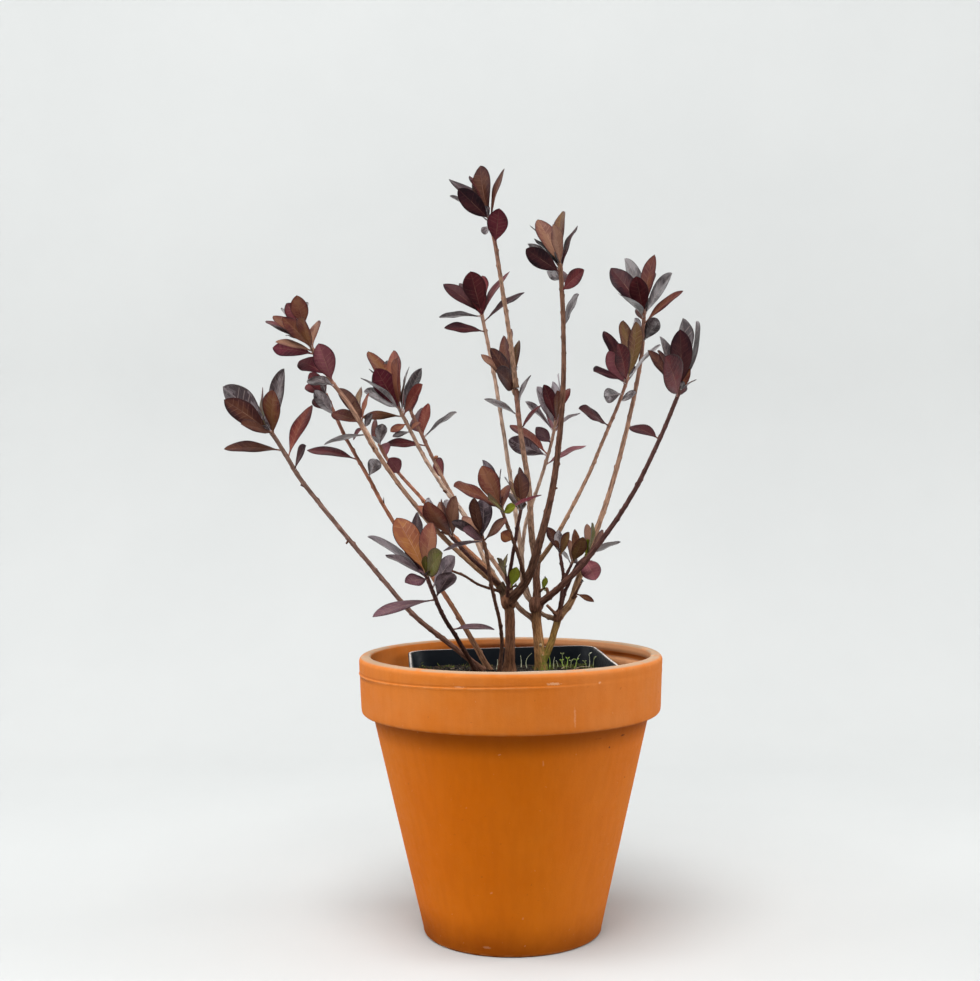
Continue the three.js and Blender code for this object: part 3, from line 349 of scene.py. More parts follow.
# the pot's outline as (radius, height), from the middle of its underside round to the middle of its floor
def clayProfile():
    p = clayPot
    height, lip, edge, wall, shoulder = p["height"], p["lip"], p["collarEdge"], p["wall"], p["shoulder"]
    inner, under, foot = p["rim"] - wall, shoulder - wall, p["base"] - p["footEdge"]
    floorEdge = (p["base"] - wall + 3, p["floor"])
    floorMiddle = (p["middle"], p["floor"])

    def onCollar(z):
        return collarRadius(z), z

    return [
        *between((p["middle"], 0), (foot, 0), 8),
        *arc(foot, p["footEdge"], p["footEdge"], -90, 0, 5),
        *between((p["base"] + 0.12, p["footEdge"] + 1), (shoulder, collarZ - 1.4), 40),
        (shoulder, collarZ - 1.4), (shoulder + 0.5, collarZ - 0.5),
        *between((shoulder + 1.0, collarZ), (p["collarFoot"] - edge, collarZ), 4),
        *arc(p["collarFoot"] - edge, collarZ + edge, edge, -90, 4, 7),
        *between(onCollar(collarZ + 3.2), onCollar(seamZ - 1.2), 12),
        onCollar(seamZ - 1.2), (collarRadius(seamZ) + p["seamDepth"], seamZ - 0.5),
        (collarRadius(seamZ) + 0.2, seamZ - 0.15), (collarRadius(seamZ) - p["seamDepth"], seamZ + 0.2),
        (collarRadius(seamZ) - 0.05, seamZ + 0.6),
        *between(onCollar(seamZ + 1.2), (p["rim"], height - lip - 0.4), 3),
        *arc(p["rim"] - lip, height - lip, lip, 0, 90, 8),
        *arc(inner + p["innerLip"], height - p["innerLip"], p["innerLip"], 90, 180, 5),
        *between((inner - 0.05, height - 2.4), (inner - 0.6, height - 8), 3),
        *between((inner - 0.6, height - 8), (under, collarZ), 10),
        *between((under, collarZ), floorEdge, 24),
        *between(floorEdge, floorMiddle, 6),
        floorMiddle,
    ]


def makeClayPot():
    p, profile, points = clayPot, clayProfile(), []
    for ringRadius, ringZ in profile:
        for k in range(p["around"]):
            radius, z = ringRadius, ringZ
            turn = 2 * pi * k / p["around"]
            c, s = cos(turn), sin(turn)
            share = min(1.0, radius / p["steadyTo"])
            wave = wallNoise(c, s, z, p["wobbleScale"]) * p["wobble"] * share
            fine = wallNoise(c, s, z, p["fineScale"]) * p["fine"] * share
            if abs(z - seamZ) < p["seamReach"] and radius > p["shoulder"]:
                # the line fades towards the right
                fade = smoothStep(*p["seamFade"], c + p["seamBack"] * max(0.0, s))
                z += p["seamTilt"] * min(0.0, c)
                radius = collarRadius(seamZ) + (radius - collarRadius(seamZ)) * fade
            r = radius + (wave + fine if z > 1.2 or radius > 43 else 0)
            x, y = r * c, r * s
            for knockTurn, knockZ, size, depth in p["knocks"]:
                at = Vector((p["rim"] * cos(knockTurn), p["rim"] * sin(knockTurn), knockZ))
                away = (Vector((x, y, z)) - at).length
                if away < size * 2:
                    dent = depth * exp(-((away / size) ** 2))
                    x, y, z = x - c * dent, y - s * dent, z - (dent * 0.6 if z > 130 else 0)
            points.append((x, y, max(0.0, z)))
    return points, loftFaces(len(profile), p["around"])


# where a scuff read off the front lies on the pot's outside
def scuffPlace(across, up):
    reach = 1 - 0.105
    for _ in range(4):
        x = sightLine["x"] + (across - sightLine["x"]) * reach
        z = sightLine["z"] + (up - sightLine["z"]) * reach
        slope = (clayPot["shoulder"] - clayPot["base"]) / collarZ
        radius = collarRadius(z) if z > collarZ else clayPot["base"] + slope * z
        y = -sqrt(max(0.0, radius**2 - x**2))
        reach = 1 + y / sightLine["distance"]
    return x, y, z


def clayMaterial():
    p, q, t = clayPot, clayLook, Finish("firedClay", 0.85, 0.06)
    x, _, z = t.split(t.place)
    colour = t.patches(14.0, 0.3, 0.72, p["clay"], p["pale"])
    # the collar is paler and drier than the body below it, and both sides are painted paler as light
    # falling on the pot's left and right
    left, right = (t.times(t.ramp(x, *q[side]), q["sideLightShare"]) for side in ("left", "right"))
    share = t.plus(t.times(t.blotches(*q["drifts"]), q["driftShare"]), q["driftLeast"])
    dryAndSideLight = t.plus(t.times(t.ramp(z, *q["collar"]), share), t.plus(left, right))
    colour = t.mix(dryAndSideLight, colour, p["dustyAndSideLight"])
    # painted shade darkens the body towards its foot, and a painted shadow lies just below the collar
    uneven = t.plus(z, t.times(t.noise(t.place, 30.0, 4.0, 0.6), q["footShadeUneven"]))
    colour = t.mix(t.ramp(uneven, *q["foot"]), colour, p["paintedShade"], "MULTIPLY")
    below = t.times(t.ramp(z, *q["below"]), t.ramp(z, *q["collarShadowEnd"]), q["collarShadowShare"])
    colour = t.mix(below, colour, p["paintedShade"], "MULTIPLY")
    # upright strokes, chalk, dark specks, rubbed edges and dust
    strokes = t.noise(t.vector("MULTIPLY", t.place, q["strokeStretch"]), 260.0, 4.0, 0.6)
    colour = t.mix(t.ramp(strokes, *q["strokes"]), colour, p["stroke"], "MULTIPLY")
    colour = t.mix(t.times(t.blotches(*q["chalk"]), q["chalkShare"]), colour, p["limeAndInsideLight"])
    colour = t.mix(t.times(t.blotches(*q["specks"]), q["speckShare"]), colour, p["dark"])
    rubbed = t.use(edgeWear, Vector=t.place, Scale=160.0, Low=0.505, High=0.54)["Mask"]
    colour = t.mix(t.times(rubbed, q["rubbedShare"]), colour, p["dustyAndSideLight"])
    colour = t.mix(t.use(dust, Vector=t.place, Scale=120.0, Amount=0.3)["Mask"], colour, p["dustyAndSideLight"])
    # painted light on the wall inside the rim, most of all on its right, and wear with a painted highlight
    # on the lip
    fromAxis = t.vector("LENGTH", t.vector("MULTIPLY", t.place, (1.0, 1.0, 0.0)))
    places = (fromAxis, "litInside"), (z, "insideUp"), (x, "insideAcross")
    litInside = t.times(*(t.ramp(value, *q[key]) for value, key in places))
    colour = t.mix(t.times(litInside, q["insideLightShare"]), colour, p["limeAndInsideLight"])
    # wear and a painted highlight along the lip
    broken = t.times(t.blotches(*q["lipBreaks"]), q["lipWearAndHighlightShare"])
    colour = t.mix(t.times(t.ramp(z, *q["lip"]), broken), colour, p["lipWearAndHighlight"])
    for tint, across, up, wide, tall, amount in p["scuffs"]:
        spotAt = tuple(value * mm for value in scuffPlace(across, up))
        size = (wide * mm, 3 * wide * mm, tall * mm)
        mark = t.use(scuff, Vector=t.place, Place=spotAt, Reach=size, Amount=amount)
        colour = t.mix(mark["Mask"], colour, p[tint])
    t.paint(colour)
    t.relief(t.grain(1500.0, 0.5, 0.66, 0.86), 0.22, 0.0004)
    return t.material


pot = meshObject("clayPot", *makeClayPot(), [clayMaterial()])
keepPiece(pot, "terracotta", "terracotta_pot")
print("terracotta pot made")

# the square nursery pot, wedged in the clay pot by its corners
plasticPot = dict(
    foot=37.5, rim=134.6, halfBase=33.5, halfRim=49.0, corner=11.0, wall=1.3, lipOut=0.6, lipDepth=3.0,
    floor=2.0, turn=4.0, tilt=-0.8, shift=(0.4, -2.5), cornerSteps=8, sideSteps=10, bulge=0.35,
    black=(0.0035, 0.0062, 0.010), worn=(0.006, 0.0095, 0.014), scuffed=(0.03, 0.034, 0.04),
    # the rim tints: a pale painted reflection along the rim's top, and painted shade along its back
    dust=(0.1, 0.085, 0.07), rimTint=(0.09, 0.088, 0.09), rimLit=(0.60, 0.53, 0.47),
    rimShaded=(0.15, 0.14, 0.14),
)
plasticPlace = (
    Matrix.Translation((*plasticPot["shift"], plasticPot["foot"]))
    @ Matrix.Rotation(radians(plasticPot["tilt"]), 4, "Y")
    @ Matrix.Rotation(radians(plasticPot["turn"]), 4, "Z")
)


def squareLoop(half, corner):
    flat = half - corner
    loop, corners = [], ((1, -1), (1, 1), (-1, 1), (-1, -1))
    for quarter, ((x, y), (nextX, nextY)) in enumerate(zip(corners, corners[1:] + corners[:1])):
        turn = -90 + quarter * 90
        loop += arc(flat * x, flat * y, corner, turn, turn + 90, plasticPot["cornerSteps"])
        ahead = radians(turn + 90)
        end = (flat * nextX + corner * cos(ahead), flat * nextY + corner * sin(ahead))
        loop += between(loop[-1], end, plasticPot["sideSteps"])[1:]
    return loop


def plasticHalf(height):
    p = plasticPot
    return p["halfBase"] + (p["halfRim"] - p["halfBase"]) * height / (p["rim"] - p["foot"])


def makePlasticPot():
    p = plasticPot
    tall, wall = p["rim"] - p["foot"], p["wall"]
    rim, lip = p["halfRim"], p["halfRim"] + p["lipOut"]
    lipFoot = tall - p["lipDepth"]
    rings = [(up, plasticHalf(up) - inset) for up, inset in ((0.0, 1.0), (1.0, 0.2), (1.6, 0.0))]
    rings += [(tall * i / 20, plasticHalf(tall * i / 20)) for i in range(1, 20)]
    rings += [
        (lipFoot - 0.2, plasticHalf(lipFoot)), (lipFoot, lip - 0.35), (tall - 0.5, lip),
        (tall - 0.12, lip - 0.16), (tall, lip - 0.5),
        (tall, rim - wall + 0.5), (tall - 0.12, rim - wall + 0.14), (tall - 0.5, rim - wall),
    ]
    rings += [(tall * i / 12, plasticHalf(tall * i / 12) - wall) for i in range(11, 0, -1)]
    rings += [(p["floor"] + 0.6, plasticHalf(2) - wall - 0.3), (p["floor"], plasticHalf(2) - wall - 1.2)]
    points = []
    for z, half in rings:
        loop = squareLoop(half, p["corner"] * half / p["halfRim"])
        for x, y in loop:
            bulge = p["bulge"] * noiseOf(x * 0.03, y * 0.03, z * 0.02) * min(1, z / 30)
            points.append(plasticPlace @ (Vector((x, y, z)) + Vector((x, y, 0)).normalized() * bulge))
    faces = loftFaces(len(rings), len(loop))
    top = [z for z, _ in rings].index(tall) * len(loop)
    slots = [0] * len(faces)
    for k, (x, y) in enumerate(loop):
        # painted shade on the back of the rim's top, a painted reflection on the rest of it
        slots[top + k] = 2 if y > 45 and abs(x) < 44 else 1
    return points, faces, slots


# the rim's top carries a pale painted reflection in a broken line, and painted shade along its back
def rimMaterial(name):
    t = Finish(name, 0.4, 0.4)
    t.paint(t.patches(260.0, 0.36, 0.5, plasticPot["rimTint"], plasticPot[name]))
    t.grain(2600.0, 0.2, 0.3, 0.5)
    return t.material


def plasticMaterial():
    p = plasticPot
    t = Finish("blackPlastic", 0.4, 0.14)
    rubbed = t.use(edgeWear, Vector=t.place, Scale=300.0, Low=0.52, High=0.6)["Mask"]
    colour = t.mix(t.times(rubbed, 0.4), t.patches(90.0, 0.45, 0.8, p["black"], p["worn"]), p["scuffed"])
    t.paint(t.mix(t.use(dust, Vector=t.place, Scale=400.0, Amount=0.05)["Mask"], colour, p["dust"]))
    t.relief(t.grain(2600.0, 0.2, 0.42, 0.6), 0.1, 0.0002)
    return t.material


points, faces, slots = makePlasticPot()
plastics = [plasticMaterial(), rimMaterial("rimLit"), rimMaterial("rimShaded")]
keepPiece(meshObject("nurseryPot", points, faces, plastics, slots), "nursery_plastic", "nursery_pot")
print("nursery pot made")

# the soil, with its crumbs
soilBed = dict(
    top=128.0, depths=(40.2, 70.0, 100.0, 120.0), rings=46, relief=1.4, sunk=0.2, dip=2.4, dipFrom=4,
    dipTo=34, rough=0.8, roughScale=0.09, roughShift=3.1, fine=0.35, fineScale=0.45, fineShift=8.2,
    crumbs=1500, crumbSize=(0.3, 0.8), large=1.8, largeShare=0.05, paleShare=0.02, brownShare=0.3, seed=11,
)
soilTints = dict(  # what lies or grows in the nursery pot: two tints, in patches
    pottingSoil=((0.010, 0.007, 0.004), (0.038, 0.025, 0.013)),
    darkCrumb=((0.008, 0.006, 0.005), (0.026, 0.018, 0.012)),
    brownCrumb=((0.03, 0.019, 0.012), (0.075, 0.045, 0.026)),
    paleCrumb=((0.12, 0.09, 0.06), (0.24, 0.18, 0.13)),
    paleSprout=((0.55, 0.58, 0.36), (0.85, 0.86, 0.64)),
    brightSprout=((0.28, 0.43, 0.06), (0.50, 0.68, 0.14)),
    fuzzySprout=((0.34, 0.40, 0.15), (0.62, 0.66, 0.34)),
    mossDeep=((0.040, 0.050, 0.008), (0.075, 0.085, 0.014)),
    mossBright=((0.11, 0.13, 0.015), (0.17, 0.20, 0.03)),
    mossBrown=((0.050, 0.035, 0.012), (0.11, 0.085, 0.03)),
    rootlet=((0.33, 0.24, 0.14), (0.5, 0.4, 0.27)),
)
soilTop = soilBed["top"]


def soilRing(z, share=1.0):
    half = plasticHalf(z - plasticPot["foot"]) - plasticPot["wall"] - 0.1
    loop = squareLoop(half, (plasticPot["corner"] - plasticPot["wall"]) * half / plasticPot["halfRim"])
    return [plasticPlace @ Vector((x * share, y * share, z - plasticPot["foot"])) for x, y in loop]


def soilHeight(x, y):
    p = soilBed
    roughScale, fineScale = p["roughScale"], p["fineScale"]
    rough = noise.fractal(Vector((x * roughScale, y * roughScale, p["roughShift"])), 1.0, 2.0, 5)
    fine = noise.fractal(Vector((x * fineScale, y * fineScale, p["fineShift"])), 1.0, 2.0, 3)
    dip = p["dip"] * smoothStep(p["dipFrom"], p["dipTo"], y)
    return soilTop - dip + p["relief"] * (rough * p["rough"] + fine * p["fine"]) - p["sunk"]


def makeSoil():
    depths, count = soilBed["depths"], soilBed["rings"]
    rings = [[(x, y, z) for x, y, _ in soilRing(z)] for z in depths]
    for i in range(count):
        rings.append([(x, y, soilHeight(x, y)) for x, y, _ in soilRing(soilTop, 1 - i / count)])
    return sum(rings, []), loftFaces(len(rings), len(rings[0]))


def soilMaterials(*names):
    made = []
    for name in names:
        t = Finish(name, 0.95, 0.3)
        t.paint(t.patches(260.0, 0.35, 0.7, *soilTints[name]))
        t.relief(t.grain(1400.0, 0.8, 0.75, 1.0), 0.6, 0.0006)
        made.append(t.material)
    return made


keepPiece(meshObject("soilBed", *makeSoil(), soilMaterials("pottingSoil")), "soil", "soil")


class PieceBuilder:  # gathers many small closed forms into one mesh
    def __init__(self):
        self.points, self.faces, self.slots, self.uv = [], [], [], []

    def add(self, points, faces, slot=0, uv=()):
        start = len(self.points)
        self.points += points
        self.faces += [tuple(start + i for i in face) for face in faces]
        self.slots += [slot] * len(faces) if isinstance(slot, int) else slot
        self.uv += uv

    def finish(self, name, materials):
        return meshObject(name, self.points, self.faces, materials, self.slots, self.uv)


# a lump: a top, two rings of six and an underside
sixths = [(a, (a + 1) % 6) for a in range(6)]
lumpForm = [(0, 0, 1)]
lumpForm += [(0.9 * cos(a * pi / 3), 0.9 * sin(a * pi / 3), 0.42) for a in range(6)]
lumpForm += [(0.95 * cos((a + 0.5) * pi / 3), 0.95 * sin((a + 0.5) * pi / 3), -0.4)
             for a in range(6)]
lumpForm += [(0, 0, -1)]
lumpFaces = [(0, 1 + a, 1 + n) for a, n in sixths]
lumpFaces += [face for a, n in sixths for face in ((1 + a, 7 + a, 1 + n), (1 + n, 7 + a, 7 + n))]
lumpFaces += [(13, 7 + n, 7 + a) for a, n in sixths]


def lump(rng, centre, size):
    turn = Matrix.Rotation(rng.uniform(0, fullTurn), 3, spot(rng, -1, 1).normalized())
    wide, deep, tall = rng.uniform(0.6, 1.3), rng.uniform(0.6, 1.2), rng.uniform(0.5, 0.9)
    return [
        centre + turn @ Vector((x * wide, y * deep, z * tall)) * (rng.uniform(0.78, 1.15) * size)
        for x, y, z in lumpForm
    ]


def makeCrumbs():
    p, rng, crumbs = soilBed, random.Random(soilBed["seed"]), PieceBuilder()
    half = (plasticHalf(soilTop - plasticPot["foot"]) - plasticPot["wall"]) * 0.96
    for _ in range(p["crumbs"]):
        flat = Vector((rng.uniform(-half, half), rng.uniform(-half, half), soilTop - plasticPot["foot"]))
        x, y, _ = plasticPlace @ flat
        size = rng.uniform(*p["crumbSize"]) * (p["large"] if rng.random() < p["largeShare"] else 1)
        slot = 2 if rng.random() < p["paleShare"] else int(rng.random() < p["brownShare"])
        crumbs.add(lump(rng, Vector((x, y, soilHeight(x, y) + size * 0.25)), size), lumpFaces, slot)
    keepPiece(crumbs.finish("soilCrumbs", soilMaterials("darkCrumb", "brownCrumb", "paleCrumb")), "soil")


makeCrumbs()
print("soil laid")

# how the plant grows: the same rule as the part's source, in millimetres
ground = 128.3
ownSpace = 0.3


# a place read as (across, depth, up), as it lies in the part's frame
def seen(place):
    p, (across, back, up) = sightLine, place
    reach = (p["distance"] + back) / p["distance"]
    dx, dz = across - p["x"], up - p["z"]
    c, s = cos(p["lean"]), sin(p["lean"])
    return Vector((p["x"] + (dx * c + dz * s) * reach, back, p["z"] + (dz * c - dx * s) * reach))


class Route:  # a smooth line through places, walked by its length
    pieces = 200

    def __init__(self, places):
        self.places = [np.array(p, float) for p in places]
        walk = [self.at(i / self.pieces) for i in range(self.pieces + 1)]
        self.marks = [0.0]
        for a, b in zip(walk, walk[1:]):
            self.marks.append(self.marks[-1] + float(np.linalg.norm(b - a)))
        self.length = self.marks[-1]

    def at(self, t):
        places, last = self.places, len(self.places) - 1
        i = min(int(last * t), last - 1)
        w = last * t - i
        p1, p2 = places[i], places[i + 1]
        p0 = places[i - 1] if i else 2 * p1 - p2
        p3 = places[i + 2] if i + 2 <= last else 2 * p2 - p1
        d0, d1, d2 = (float(np.linalg.norm(b - a)) ** 0.5 for a, b in ((p0, p1), (p1, p2), (p2, p3)))
        m1 = ((p1 - p0) / d0 - (p2 - p0) / (d0 + d1) + (p2 - p1) / d1) * d1
        m2 = ((p2 - p1) / d1 - (p3 - p1) / (d1 + d2) + (p3 - p2) / d2) * d1
        return p1 + m1 * w + (3 * (p2 - p1) - 2 * m1 - m2) * w * w + (2 * (p1 - p2) + m1 + m2) * w**3

    def along(self, share):
        walked = share * self.length
        i = min(max(bisect_right(self.marks, walked) - 1, 0), self.pieces - 1)
        part = (walked - self.marks[i]) / (self.marks[i + 1] - self.marks[i])
        return self.at(min(1.0, (i + part) / self.pieces))


def nearest(curve, far):
    return min((curve.along(i / curve.pieces) for i in range(curve.pieces + 1)), key=far)


# limbs: name, the limb it grows on, the radius at foot and tip, and its way as (across, depth, up)
limbs = [
    dict(name="left_trunk", r=(2.5, 2.4), flare=1.6, sides=10, route=[
        (0, 2, ground), (0.5, 2, 144), (0.2, 2.5, 158), (-2, 3, 166.2), (-5, 3, 172),
    ]),
    dict(name="centre_trunk", r=(2.6, 2.5), flare=1.3, sides=10, route=[
        (16.2, 6, ground), (14.7, 6, 144), (13.7, 6, 154), (13.5, 6, 161.5),
    ]),
    dict(name="right_limb", on="centre_trunk", r=(1.9, 1.8), sides=8, route=[
        (17, 6.5, 132.5), (20, 7, 140), (23.5, 8, 151), (25, 8, 156.5),
    ]),
    dict(name="centre_bough", on="centre_trunk", r=(2.1, 1.8), sides=8, route=[
        (13.5, 6, 160), (14, 6.5, 169), (13.6, 7, 176), (14, 7, 183.5),
    ]),
]
